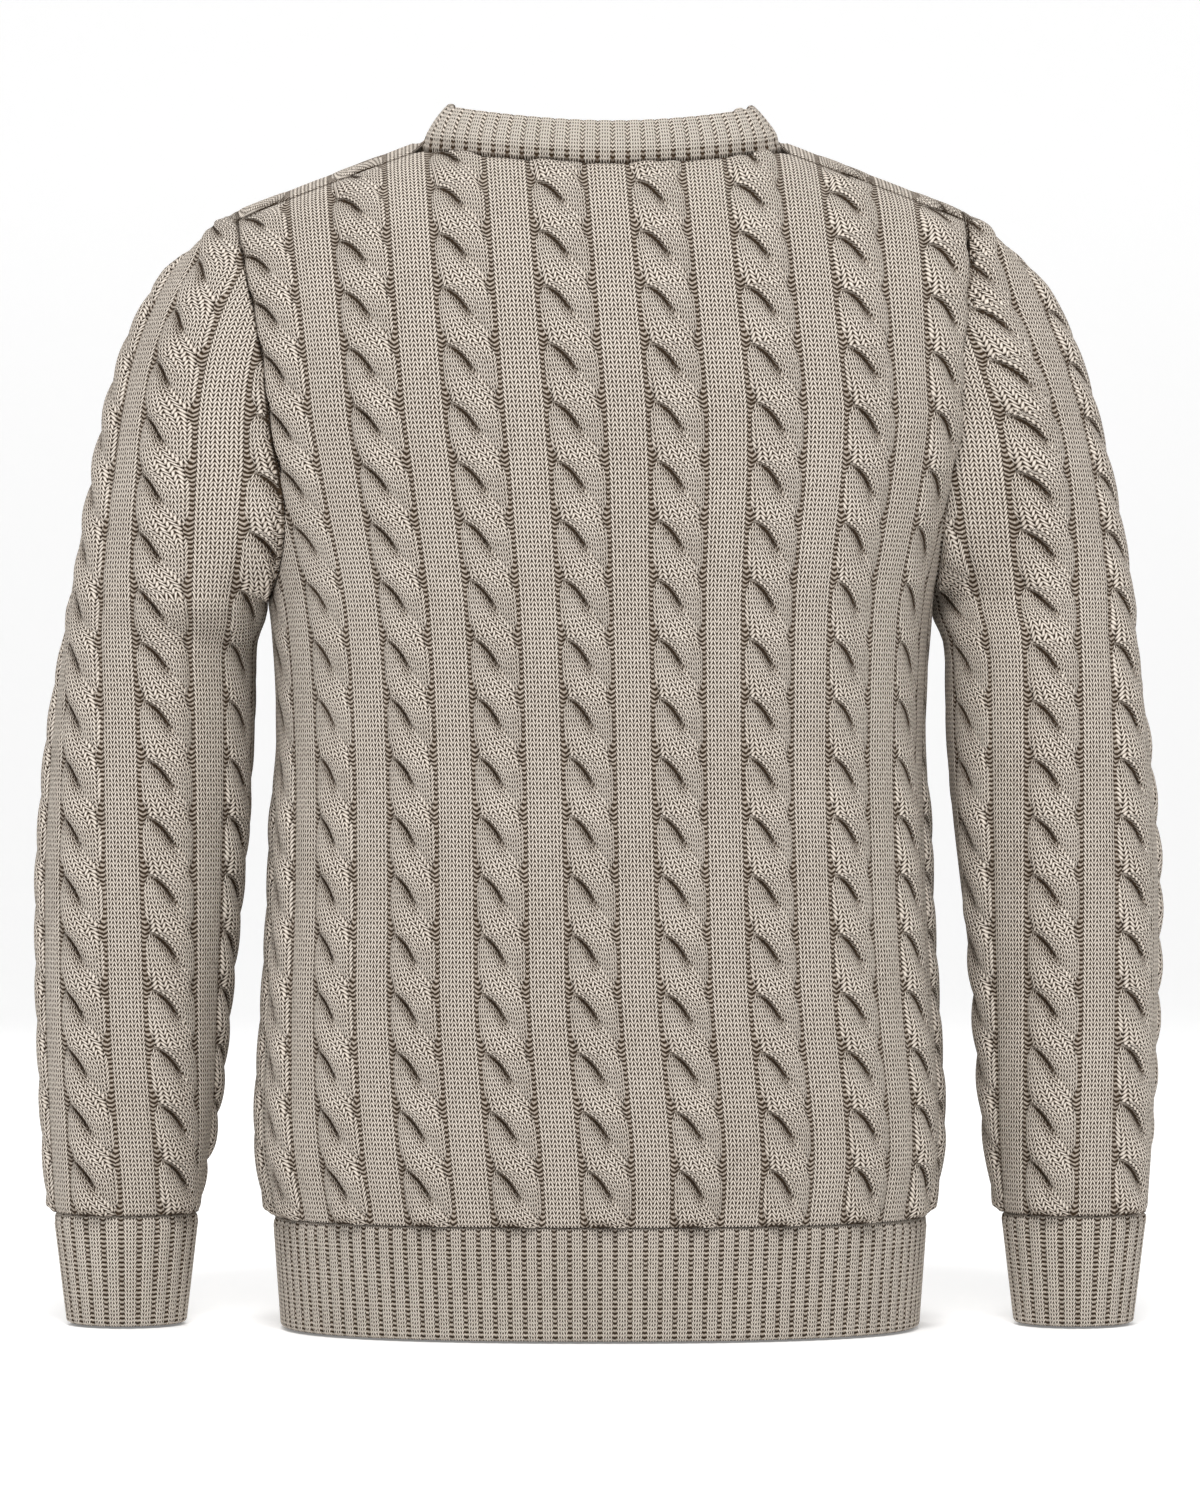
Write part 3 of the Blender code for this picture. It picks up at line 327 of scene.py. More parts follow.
# -------------------- body form
ARC_POINTS = 181           # points worked out on a curve before they are spaced evenly
QUARTER_POINTS = 65
LEVEL_ROWS = 73
PANEL_LEVELS = 60          # levels read below the shoulders, and again over them
PAST_RIDGE = np.linspace(2.03, 2.27, 9)     # levels a little further than the shoulder seam
NORMAL_STEP = 0.003


def quarter_section(half_width, depth):
    """From the centre line to the side, x out and y back, evenly spaced."""
    angle = np.linspace(0.0, math.pi / 2, ARC_POINTS)
    x = half_width * np.sin(angle) ** (2 / SECTION_POWER)
    y = depth * np.cos(angle) ** (2 / SECTION_POWER)
    return even_points(np.stack([x, y], axis=1), QUARTER_POINTS)


SECTION_ROW_HEIGHTS = np.linspace(RIB_TOP_Z, SHOULDER_START_Z, LEVEL_ROWS)
QUARTERS = {
    depth_column: np.stack([
        quarter_section(read_table(BODY_SECTIONS, 1, height), read_table(BODY_SECTIONS, depth_column, height))
        for height in SECTION_ROW_HEIGHTS
    ])
    for depth_column in (2, 3)
}
TOP_HALF_WIDTH = float(read_table(BODY_SECTIONS, 1, SHOULDER_START_Z))
TOP_DEPTH = {column: float(read_table(BODY_SECTIONS, column, SHOULDER_START_Z)) for column in (2, 3)}


def ridge_height(x):
    x = np.abs(x)
    inside = 0.5 * SHOULDER_SLOPE * NECK_HALF * (1 - (x / NECK_HALF) ** 2)
    return np.where(x < NECK_HALF, inside, -SHOULDER_SLOPE * (x - NECK_HALF))


def level_height(level):
    """Height of a level up to the start of the shoulders."""
    return RIB_TOP_Z + np.minimum(level, 1.0) * (SHOULDER_START_Z - RIB_TOP_Z)


def body_drift(level):
    """How far the wales have turned, in pattern width, at a level. Past the ridge they meet the other
    panel's."""
    past = np.where(np.asarray(level) > 2.0, -1.0, 1.0)
    level = np.minimum(level, 4.0 - np.asarray(level))
    rise = np.sin(np.clip(level - 1.0, 0.0, 1.0) * math.pi / 2) ** (2 / SHOULDER_POWER)
    return past * read_table(DRIFT, 1, level_height(level)) * (1 - rise)


def quarter_of(around):
    """Where a place round the body lies, from -2 to 2 with 0 at the centre back and 1 at the right side: its
    share of the way from a centre line to the side, and whether it is in front."""
    share = np.abs(around)
    front = share > 1.0
    return np.where(front, 2.0 - share, share), front


def body_point(level, around):
    """level 0 is the top of the hem rib, 1 the start of the shoulders, 2 the ridge; past 2 it runs down the
    other side. around is 0 at the centre back, 1 at the right side and 2 at the centre front."""
    level = np.asarray(level, float)
    around = (np.asarray(around, float) + 2.0) % 4.0 - 2.0
    side = np.where(around < 0, -1.0, 1.0)
    share, front = quarter_of(around)
    over = level > 2.0
    front = front != over
    level = np.where(over, 4.0 - level, level)
    row = np.minimum(level, 1.0) * (LEVEL_ROWS - 1)
    column = share * (QUARTER_POINTS - 1)
    back_xy = grid_read(QUARTERS[2], row, column)
    front_xy = grid_read(QUARTERS[3], row, column)
    section = np.where(front[..., None], front_xy, back_xy)
    angle = np.clip(level - 1.0, 0.0, 1.0) * math.pi / 2
    rise = np.sin(angle) ** (2 / SHOULDER_POWER)
    closing = np.cos(angle) ** (2 / SHOULDER_POWER)
    top_x = np.minimum(share * PANEL_HALF, TOP_HALF_WIDTH * SHOULDER_END)
    x = section[..., 0] + (top_x - section[..., 0]) * smooth_step(rise)
    reach = np.clip(1 - (np.clip(x, 0, None) / TOP_HALF_WIDTH) ** SECTION_POWER, 0.0, 1.0)
    depth = np.where(front, TOP_DEPTH[3], TOP_DEPTH[2]) * reach ** (1 / SECTION_POWER) * closing
    y = np.where(level > 1.0, depth, section[..., 1])
    over_shoulder = SHOULDER_START_Z + (ridge_height(x) - SHOULDER_START_Z) * rise
    z = np.where(level > 1.0, over_shoulder, level_height(level))
    return np.stack([side * x, np.where(front, y, -y), z], axis=-1)


class BodyPanel:
    """The back (middle 0) or the front (middle 2), read by pattern width w and course length c."""

    def __init__(self, middle):
        self.middle = middle
        self.top_level = self.turned_level(SEAM_BEHIND)
        below, over = np.linspace(0, 1, PANEL_LEVELS), np.linspace(1, 2, PANEL_LEVELS)
        self.levels = np.concatenate([below, over[1:], PAST_RIDGE])
        self.cache = {}

    def turned_level(self, angle):
        """The level at an angle over the shoulder, counted from the back."""
        share = angle / (math.pi / 2)
        return 1.0 + share if self.middle == 0 else 3.0 - share

    def around(self, w, level):
        return self.middle + (w + body_drift(level)) / PANEL_HALF

    def courses(self, w):
        """Length along the wale at each level."""
        key = round(float(w), 7)
        if key not in self.cache:
            self.cache[key] = length_along(body_point(self.levels, self.around(w, self.levels)))
        return self.cache[key]

    def course_of(self, w, level):
        return float(np.interp(level, self.levels, self.courses(w)))

    def neck_level(self, w):
        """The level of the panel's top edge."""
        share = abs(w) / NECK_HALF
        if share >= 1.0:
            return self.top_level
        low, curve = (BACK_NECK, BACK_NECK_CURVE) if self.middle == 0 else (FRONT_NECK, FRONT_NECK_CURVE)
        return self.top_level - (self.top_level - 1.0 - low / (math.pi / 2)) * (1 - share ** 2) ** curve

    def underarm_level(self, w):
        """The level of the armhole's curve, outside its straight edge."""
        share = min(1.0, (PANEL_HALF - abs(w)) / (PANEL_HALF - ARMHOLE_W))
        lift = 1 - math.sqrt(max(0.0, 1 - share ** 2))
        return height_level(UNDERARM_Z + (ARMHOLE_LOW_Z - UNDERARM_Z) * lift)

    def top(self, w):
        return self.course_of(w, self.neck_level(w)) - SEAM_GAP

    def place(self, w, courses):
        """Points of one wale line at an array of course lengths."""
        level = np.interp(courses, self.courses(w), self.levels)
        return body_point(level, self.around(w, level))

    def edge_point(self, w, c):
        """A point and its outward normal."""
        point, above, below = self.place(w, np.array([c, c + NORMAL_STEP, c - NORMAL_STEP]))
        right, left = (self.place(w + step, np.array([c]))[0] for step in (NORMAL_STEP, -NORMAL_STEP))
        return np.concatenate([point, unit(np.cross(right - left, above - below))])


def height_level(height):
    return (height - RIB_TOP_Z) / (SHOULDER_START_Z - RIB_TOP_Z)


# -------------------- sleeve form
RING_POINTS = 121
HALF_POINTS = 61
LEVEL_RINGS = 60
FAN_RINGS = 41
FAN_BLEND = 0.03           # the outermost line is rounded off over this many levels
FAN_TOP = 0.80             # from this level on it runs to the armhole's top
ARMHOLE_STRAIGHT = 40      # points read on the armhole's straight edge
ARMHOLE_CURVE = 30         # and on its curve below


def loop_read(loop, index):
    """Points of a closed loop at fractional numbers."""
    index = np.asarray(index) % len(loop)
    low = index.astype(int)
    part = (index - low)[:, None]
    return loop[low] * (1 - part) + loop[(low + 1) % len(loop)] * part


def armhole_half(panel, sign):
    """Points on the armhole's edge, from the sleeve's top down to the underarm on one panel's side."""
    edge_w = sign * (ARMHOLE_W + SEAM_GAP)
    low = panel.course_of(edge_w, height_level(ARMHOLE_LOW_Z))
    high = panel.course_of(edge_w, panel.turned_level(SLEEVE_TOP))
    points = list(panel.place(edge_w, np.linspace(high, low, ARMHOLE_STRAIGHT)))
    for share in np.linspace(0.03, 1.0, ARMHOLE_CURVE):
        w = sign * (ARMHOLE_W + (PANEL_HALF - ARMHOLE_W) * math.sin(share * math.pi / 2))
        points.append(panel.place(w, np.array([panel.course_of(w, panel.underarm_level(w)) + SEAM_GAP]))[0])
    return even_points(np.array(points), RING_POINTS)


class Sleeve:
    """side is +1 for the wearer's right. Its rings are read by their share of a half turn from the wales'
    middle line to the seam, on the back half and on the front half."""

    def __init__(self, side, back, front):
        self.side = side
        self.turn_column = 2 if side > 0 else 1
        back_half = armhole_half(back, side)
        front_half = armhole_half(front, -side)
        self.underarm = 0.5 * (back_half[-1] + front_half[-1])
        self.rings = []
        self.add_level_rings()
        self.add_fan_rings(back_half, front_half)
        self.lay_out()

    def ellipse_halves(self, high, low, half_depth):
        """Back and front halves of a ring, from its outer point to its inner point."""
        angle = np.linspace(0.0, math.pi, ARC_POINTS)
        halves = []
        for back in (-1.0, 1.0):
            depth = np.array([0.0, back * half_depth, 0.0])
            points = 0.5 * (high + low) + np.outer(np.cos(angle), 0.5 * (high - low))
            halves.append(even_points(points + np.outer(np.sin(angle), depth), RING_POINTS))
        return halves

    def add_level_rings(self):
        for height in np.linspace(RIB_TOP_Z, UNDERARM_Z, LEVEL_RINGS + 1)[:-1]:
            centre, half_width, half_depth, forward = (
                float(read_table(SLEEVE_SECTIONS, column, height)) for column in (1, 2, 3, 4))
            near = float(between(height, UNDERARM_Z - UNDERARM_REACH, UNDERARM_Z))
            inner = (centre - half_width) * (1 - near) + abs(self.underarm[0]) * near
            high = np.array([self.side * (centre + half_width), forward, height])
            low = np.array([self.side * inner, forward * (1 - near) + self.underarm[1] * near, height])
            low[2] += (self.underarm[2] - UNDERARM_Z) * near
            self.rings.append((height, *self.ellipse_halves(high, low, half_depth)))

    def add_fan_rings(self, back_half, front_half):
        """The rings from the underarm to the armhole, where they take the armhole's own shape."""
        levels, outs, heights = table_columns(SLEEVE_OUTER)
        armhole = (back_half, front_half)
        top = back_half[0]
        half_depth_low = float(read_table(SLEEVE_SECTIONS, 3, UNDERARM_Z))
        half_depth_high = 0.5 * (front_half[:, 1].max() - back_half[:, 1].min())
        base = self.ellipse_halves(top, self.underarm, half_depth_high)
        for level in np.linspace(0.0, 1.0, FAN_RINGS):
            near_levels = np.array([level - FAN_BLEND, level, level + FAN_BLEND])
            out, height = (float(np.mean(np.interp(near_levels, levels, column))) for column in (outs, heights))
            near = float(between(level, FAN_TOP, 1.0))
            high = np.array([self.side * out, 0.0, height]) * (1 - near) + top * near
            half_depth = half_depth_low + (half_depth_high - half_depth_low) * float(smooth_step(level))
            halves = self.ellipse_halves(high, self.underarm, half_depth)
            shaped = [half + (edge - plain) * level ** 2 for half, edge, plain in zip(halves, armhole, base)]
            self.rings.append((height, *shaped))

    def lay_out(self):
        """For every ring the two halves, evenly spaced from the wales' middle line to the seam."""
        grids, lengths = [], []
        for height, back_half, front_half in self.rings:
            loop = np.concatenate([back_half, front_half[-2:0:-1]])
            turn = float(read_table(SLEEVE_TURN, self.turn_column, height))
            turned = smooth_step((UNDERARM_Z - SEAM_TURN_START - height) / SEAM_TURN_REACH)
            seam = 1.0 + SEAM_TURN * float(turned)
            position, seam_position = turn * (RING_POINTS - 1), seam * (RING_POINTS - 1)
            back_index = np.linspace(position, seam_position, HALF_POINTS * 2)
            front_index = np.linspace(position, seam_position - len(loop), HALF_POINTS * 2)
            halves = [even_points(loop_read(loop, index), HALF_POINTS) for index in (back_index, front_index)]
            lengths.append([np.linalg.norm(np.diff(half, axis=0), axis=1).sum() for half in halves])
            grids.append(halves)
        self.half_grids = [np.stack([pair[k] for pair in grids]) for k in (0, 1)]
        self.half_lengths = np.array(lengths)

    def column(self, half, share, low_rows, high_rows):
        """Points, pattern widths and course lengths of one line from the cuff to the armhole, evenly spaced
        below the underarm and above it."""
        rings = np.arange(len(self.rings))
        points = grid_read(self.half_grids[half], rings, np.full(len(rings), share * (HALF_POINTS - 1)))
        courses = length_along(points)
        bend = courses[LEVEL_RINGS]
        c = np.concatenate([np.linspace(SEAM_GAP, bend, low_rows + 1),
                            np.linspace(bend, courses[-1], high_rows + 1)[1:]])
        ring = np.interp(c, courses, rings)
        width = np.interp(ring, rings, self.half_lengths[:, half]) * share
        sign = -self.side if half == 0 else self.side
        points = grid_read(self.half_grids[half], ring, np.full(len(c), share * (HALF_POINTS - 1)))
        return points, sign * width, c


# -------------------- knit relief
FLOW_ROWS = 161            # layout of the table of lengths along a strand
FLOW_COLUMNS = 33
FLOW_DOWN = 1.0 + CREASE_DROP
FAR = 9.0                  # millimetres: no crease, gutter or seam near
CREASE_X = np.linspace(-1.0, 1.0, 201)
CREASE_BLEND = np.linspace(-0.12, 0.12, 13)


def crease_drops():
    """The crease's table read at CREASE_X, its corners rounded off."""
    places, drops = table_columns(CREASE_LINE)
    smooth = np.interp(CREASE_X + CREASE_BLEND[:, None], places, drops).mean(axis=0)
    share = (smooth - smooth[0]) / (smooth[-1] - smooth[0])
    return share * CREASE_DROP


CREASE_DROPS = crease_drops()
CREASE_SLOPES = np.gradient(CREASE_DROPS, CREASE_X)


def crease_drop(x):
    """How far a crease has dropped, in twists, at a place x from -1 to 1 across a cable."""
    return np.interp(x, CREASE_X, CREASE_DROPS)


MIDDLE_DROP = float(crease_drop(0.0))


def strand_sides(down):
    """Left and right side of a strand, from -1 to 1, at a distance down from where its left side appears."""
    left = np.where(down < 1.0, -1.0, np.minimum(np.interp(down - 1.0, CREASE_DROPS, CREASE_X), 0.0))
    right = np.where(down < MIDDLE_DROP, 0.0, np.maximum(np.interp(down, CREASE_DROPS, CREASE_X), 0.0))
    return left, right


def strand_lengths():
    """Table of the length along a strand's wales, by distance down and place across the strand."""
    down = np.linspace(0.0, FLOW_DOWN, FLOW_ROWS)
    left, right = strand_sides(down)
    x = left[:, None] + (right - left)[:, None] * np.linspace(0.0, 1.0, FLOW_COLUMNS)
    steps = np.hypot(np.diff(x, axis=0) * CABLE_HALF, np.diff(down)[:, None] * TWIST)
    return np.concatenate([np.zeros((1, FLOW_COLUMNS)), np.cumsum(steps, axis=0)])


STRAND_LENGTHS = strand_lengths()


def strand_of(x, c):
    """Number of the strand at a place on a cable, counted downwards."""
    return np.floor(-c / TWIST - crease_drop(x))


def strand_stitches(x, c, strand):
    """Stitch coordinates on a strand: wales across it and stitches up it."""
    x = np.clip(x, -1.0, 1.0)
    down = np.clip(-c / TWIST - strand, 0.0, FLOW_DOWN)
    left, right = strand_sides(down)
    across = np.clip((x - left) / np.maximum(right - left, 0.01), 0.0, 1.0)
    along = grid_read(STRAND_LENGTHS, down / FLOW_DOWN * (FLOW_ROWS - 1), across * (FLOW_COLUMNS - 1))
    return across * STRAND_WALES, -along / COURSE


def rope_place(x, c):
    """x measured against the rope's own scalloped edges."""
    widths = []
    for drop, shift in ((0.0, NOTCH_SHIFT), (CREASE_DROP, -NOTCH_SHIFT)):
        below = -c / TWIST - drop
        below = below - np.round(below) + shift
        widths.append(1.0 - NOTCH * np.exp(-(below / NOTCH_REACH) ** 2))
    return x / np.where(x < 0, *widths)


def cable_relief(x, c):
    """Height on a cable, and how strongly painted shade darkens its creases there."""
    part = -c / TWIST - crease_drop(x)
    part = part - np.floor(part)                     # 0 under a crease, 1 at the next one below
    crest = STRAND_CREST - CREST_LEAN * np.clip(x - CREST_LEAN_FROM, 0.0, 1.0)
    rise = np.sin(np.clip(part / crest, 0.0, 1.0) * math.pi / 2) ** STRAND_POWER
    fall = rounded(np.clip((part - crest) / (1.0 - crest), 0.0, 1.0), *STRAND_ROUND)
    strand = np.where(part < crest, rise, fall)
    filled = CREASE_FILLED * between(x, *CREASE_FILLS)
    rope = rounded(rope_place(x, c), *ROPE_ROUND)
    height = rope * (STRAND_LOW + STRAND_RISE * (filled + (1.0 - filled) * strand))
    started = grow(CREASE_FIRST, between(x, *CREASE_STARTS))
    return height, started * (1.0 - between(x, *CREASE_ENDS))


def cabled_relief(w, c, repeat):
    """Height on a cloth of cables and flat panels, and how strongly painted shade darkens creases."""
    off = w - (np.floor(w / repeat) + 0.5) * repeat
    flat_half = repeat / 2 - CABLE_HALF - GUTTER
    flat = (repeat / 2 - np.abs(off)) / flat_half    # 0 in the middle of a flat panel, 1 at its edge
    height, painted_line_shade = cable_relief(off / CABLE_HALF, c)
    flat_height = FLAT_HIGH * rounded(np.minimum(flat, 1.0), *FLAT_ROUND)
    on_cable = np.abs(off) < CABLE_HALF
    return np.where(on_cable, height, flat_height), np.where(on_cable, painted_line_shade, 0.0)


def cabled_stitches(w, c, repeat):
    """For the corners of faces: wales and stitches, millimetres to the nearest crease, negative above it, and
    millimetres into a gutter of purl stitches."""
    middle_w, middle_c = w.mean(axis=1, keepdims=True), c.mean(axis=1, keepdims=True)
    centre = (np.floor(middle_w / repeat) + 0.5) * repeat
    on_cable = np.abs(middle_w - centre) < CABLE_HALF + 0.5 * GUTTER
    x = (w - centre) / CABLE_HALF
    strand = strand_of(np.clip((middle_w - centre) / CABLE_HALF, -1.0, 1.0), middle_c)
    u, v = strand_stitches(x, c, strand)
    flat_centre = np.round(middle_w / repeat) * repeat
    flat_half = repeat / 2 - CABLE_HALF - GUTTER
    flat_u = ((w - flat_centre) / flat_half + 1.0) * FLAT_WALES / 2
    slope = np.interp(x, CREASE_X, CREASE_SLOPES)
    part = -c / TWIST - crease_drop(x) - strand
    under = part.mean(axis=1, keepdims=True) < 0.5
    crease = np.where(under, part, part - 1.0) / np.hypot(1.0 / TWIST, slope / CABLE_HALF) * MM
    outside = (np.abs(rope_place(x, c)) - 1.0) * CABLE_HALF * MM
    before_flat = (CABLE_HALF + GUTTER - np.abs(w - centre)) * MM
    return (np.where(on_cable, u, flat_u), np.where(on_cable, v, c / COURSE),
            np.where(on_cable, crease, FAR), np.minimum(outside, before_flat))


def rib_relief(place):
    """Height share across ribs, at a place counted in ribs."""
    return rounded((place - np.floor(place) - 0.5) * 2.0, *RIB_ROUND)


def rib_stitches(spacing):
    """Two wales on a rib, purl bars in the groove. w is counted in ribs."""
    def stitches(w, c):
        middle = np.floor(w.mean(axis=1, keepdims=True))
        off = (w - middle - 0.5) * 2.0
        return (off / RIB_OPEN + 1.0, c / RIB_COURSE, np.full(w.shape, FAR),
                (np.abs(off) - RIB_OPEN) * spacing / 2 * MM)
    return stitches


# -------------------- cloth meshes
# crease and depth weigh the painted shade along creases and seams, and in the hollows
CLOTH_VALUES = ("w", "c", "edge", "crease", "depth")


class Cloth:
    """A closed shell being built: grids of points, quads and triangles. Each point has its knit coordinates w
    and c, its distance in millimetres to a sewn edge, and how strongly painted shade darkens creases, seams and
    hollows there."""

    def __init__(self):
        self.columns = {key: [] for key in ("points", *CLOTH_VALUES)}
        self.count = 0
        self.quads = []
        self.triangles = []

    def add_points(self, points, *values):
        shape = points.shape[:-1]
        for key, value in zip(CLOTH_VALUES, values):
            self.columns[key].append(np.broadcast_to(value, shape).ravel())
        self.columns["points"].append(points.reshape(-1, 3))
        numbers = self.count + np.arange(int(np.prod(shape))).reshape(shape)
        self.count += numbers.size
        return numbers

    def add_grid(self, numbers, closed=False, outward=True):
        """Quads between neighbouring rows and columns. A quad with a point twice becomes a triangle."""
        right = np.roll(numbers, -1, axis=1) if closed else numbers[:, 1:]
        left = numbers if closed else numbers[:, :-1]
        quads = np.stack([left[:-1], right[:-1], right[1:], left[1:]], axis=-1).reshape(-1, 4)
        if not outward:
            quads = quads[:, ::-1]
        self.add_quads(quads)

    def add_quads(self, quads):
        following = np.roll(quads, -1, axis=1)
        doubled = quads == following
        pinched = doubled.any(axis=1)
        self.quads.append(quads[~pinched])
        for quad, twice in zip(quads[pinched], doubled[pinched]):
            kept = [number for number, again in zip(quad, twice) if not again]
            if len(kept) == 3:
                self.triangles.append(kept)

    def add_rim(self, outer, inner_of):
        """Joins a closed loop of outer points, in the outer faces' own order, to the inner points under it."""
        anchors = [k for k, number in enumerate(outer) if number in inner_of]
        for k, start in enumerate(anchors):
            end = anchors[(k + 1) % len(anchors)]
            span = (end - start) % len(outer)
            first, last = inner_of[outer[start]], inner_of[outer[end]]
            middle = span // 2
            for step in range(span):
                a, b = outer[(start + step) % len(outer)], outer[(start + step + 1) % len(outer)]
                self.triangles.append([b, a, first if step < middle else last])
            if first != last:
                self.triangles.append([outer[(start + middle) % len(outer)], first, last])

    def build(self, name, stitches, material, inside_from):
        """The finished piece. Points numbered from inside_from on are the plain purl side."""
        data = {key: np.concatenate(values) for key, values in self.columns.items()}
        quads = np.concatenate(self.quads)
        triangles = np.array(self.triangles, int).reshape(-1, 3)
        mesh = bpy.data.meshes.new(name)
        mesh.from_pydata(data["points"].tolist(), [], quads.tolist() + triangles.tolist())
        mesh.shade_smooth()
        maps = {"stitches": [], "courses": [], "lines": []}
        for faces in (quads, triangles):
            w, c, edge = data["w"][faces], data["c"][faces], data["edge"][faces]
            u, v, crease, gutter = stitches(w, c)
            inside = (faces >= inside_from).any(axis=1, keepdims=True)
            u, v = np.where(inside, w / WALE, u), np.where(inside, c / COURSE, v)
            crease = np.where(np.abs(crease) < edge, crease, edge)
            crease, gutter = np.where(inside, FAR, crease), np.where(inside, FAR, gutter)
            for label, pair in (("stitches", (u, v)), ("courses", (w / WALE, c / COURSE)),
                                ("lines", (crease, gutter))):
                maps[label].append(np.stack(pair, axis=-1).reshape(-1, 2))
        for label, corners in maps.items():
            layer = mesh.uv_layers.new(name=label)
            layer.data.foreach_set("uv", np.concatenate(corners).ravel())
        # strengths of the painted shade along creases and seams, and in the hollows
        for key in ("crease", "depth"):
            attribute = mesh.attributes.new(key, "FLOAT", "POINT")
            attribute.data.foreach_set("value", data[key].astype(np.float32))
        mesh.materials.append(material)
        piece = put_in_scene(name + "_cloth", mesh)
        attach(piece, "root")
        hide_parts(name)
        return piece


def tube_cloth(name, grids, columns, stitches, material, pinched_from=(None, None)):
    """A tube from its outer and its inner skin, closed round its lowest and highest edge. The inner skin has
    the outer skin's numbered columns. From its pinched row upwards a skin's first column is one point."""
    cloth = Cloth()
    skins = []
    for grid, pinched in zip(grids, pinched_from):
        inside_from = cloth.count
        skin = cloth.add_points(*grid)
        if pinched is not None:
            skin[pinched:, 0] = skin[pinched, 0]
        cloth.add_grid(skin, closed=True, outward=not skins)
        skins.append(skin)
    outer, inner = skins
    for row, turn in ((0, 1), (-1, -1)):
        inner_of = dict(zip(outer[row, columns].tolist(), inner[row].tolist()))
        cloth.add_rim(outer[row].tolist()[::turn], inner_of)
    return cloth.build(name, stitches, material, inside_from)


# -------------------- seams
EDGE_FADE = 0.0045         # the relief sinks towards a seam over this length
EDGE_LEFT = 0.25           # to this share
SEAM_DEPTH = 0.0004
SEAM_WIDTH = 0.0016
SEAM_LINE_SHADE = 0.35          # how strongly painted shade darkens a seam's line, beside a cable's crease at 1
SEAM_LINE = (0.0010, 0.0025)       # the painted shade line fades between these distances
RIDGE_FADE = ((0.0, 0.020), (0.035, 0.125))    # back and front: the relief grows between these distances below
RIDGE_LEFT = 0.10                              # the shoulder seam, from this share, so that the ridge is smooth
ARMHOLE_FADE = 0.011       # a sleeve's relief sinks towards the armhole over this length
ARMHOLE_TOP_FADE = 3.0     # and over this many times the length where it faces up
PRESSED_Z = (-0.400, -0.340)       # above these heights body and sleeve lie against each other, pressed flat
FREE_Z = (-0.240, -0.160)          # and above these they part again
PRESSED_FACING = (0.25, 0.70)      # from facing each other a little to fully, sideways
PRESSED_SHARE = 0.75
CLEAR = 1.0                # no seam near
# Painted shade in the stitches' hollows: outside, inside, on ribs and on the neckband
OUTSIDE_HOLLOW_SHADE = 1.0        # how strongly painted shade darkens the stitches' hollows
INSIDE_HOLLOW_SHADE = 0.15
RIB_HOLLOW_SHADE = 0.3
BAND_HOLLOW_SHADE = -1.6          # below 0 it pales the band instead


def every(count, step, kept=()):
    """Row or column numbers 0, step, 2 step ... and the last, with some more kept."""
    return sorted(set(range(0, count, step)) | {count - 1} | set(kept))


def seam_fade(distance, reach=EDGE_FADE):
    return grow(EDGE_LEFT, smooth_step(distance / reach))


def seam_groove(distance):
    return SEAM_DEPTH * np.exp(-(distance / SEAM_WIDTH) ** 2)


# Painted shade along a seam's line
def seam_line_shade(distance):
    return SEAM_LINE_SHADE * (1.0 - between(distance, *SEAM_LINE))


def pressed(facing, height):
    """What is left of the relief where body and sleeve face each other under the arm."""
    zone = between(height, *PRESSED_Z) * (1.0 - between(height, *FREE_Z))
    return 1.0 - PRESSED_SHARE * zone * between(facing, *PRESSED_FACING)


# -------------------- body panels
CABLE_PLACES = (-1.0, -0.95, -0.87, -0.77, -0.66, -0.55, -0.44, -0.33, -0.22, -0.11,
                0.0, 0.11, 0.22, 0.33, 0.44, 0.55, 0.66, 0.77, 0.87, 0.95, 1.0)
BESIDE_FLAT = 0.43         # a wale line on each half of a flat panel, in repeats from a cable's middle
LOW_ROWS = 232             # from the rib to the height where the armhole's straight edge starts
HIGH_ROWS = 112
PANEL_THIN = (6, 4)        # the plain inside keeps every 6th row and every 4th column


def panel_columns():
    """Wale lines that follow the cables, the gutters and the flat panels, and the armhole's edges."""
    columns = []
    for number in range(-5, 5):
        centre = (number + 0.5) * BODY_REPEAT
        columns += [centre + place * CABLE_HALF for place in CABLE_PLACES]
        columns += [centre + side * (CABLE_HALF + share * GUTTER) for side in (-1, 1) for share in (0.5, 1.0)]
        columns += [centre + side * BODY_REPEAT * BESIDE_FLAT for side in (-1, 1)]
    columns += [number * BODY_REPEAT for number in range(-5, 6)]
    return np.array(sorted(set(np.round(columns, 6))))


def body_stitches(w, c):
    return cabled_stitches(w, c, BODY_REPEAT)


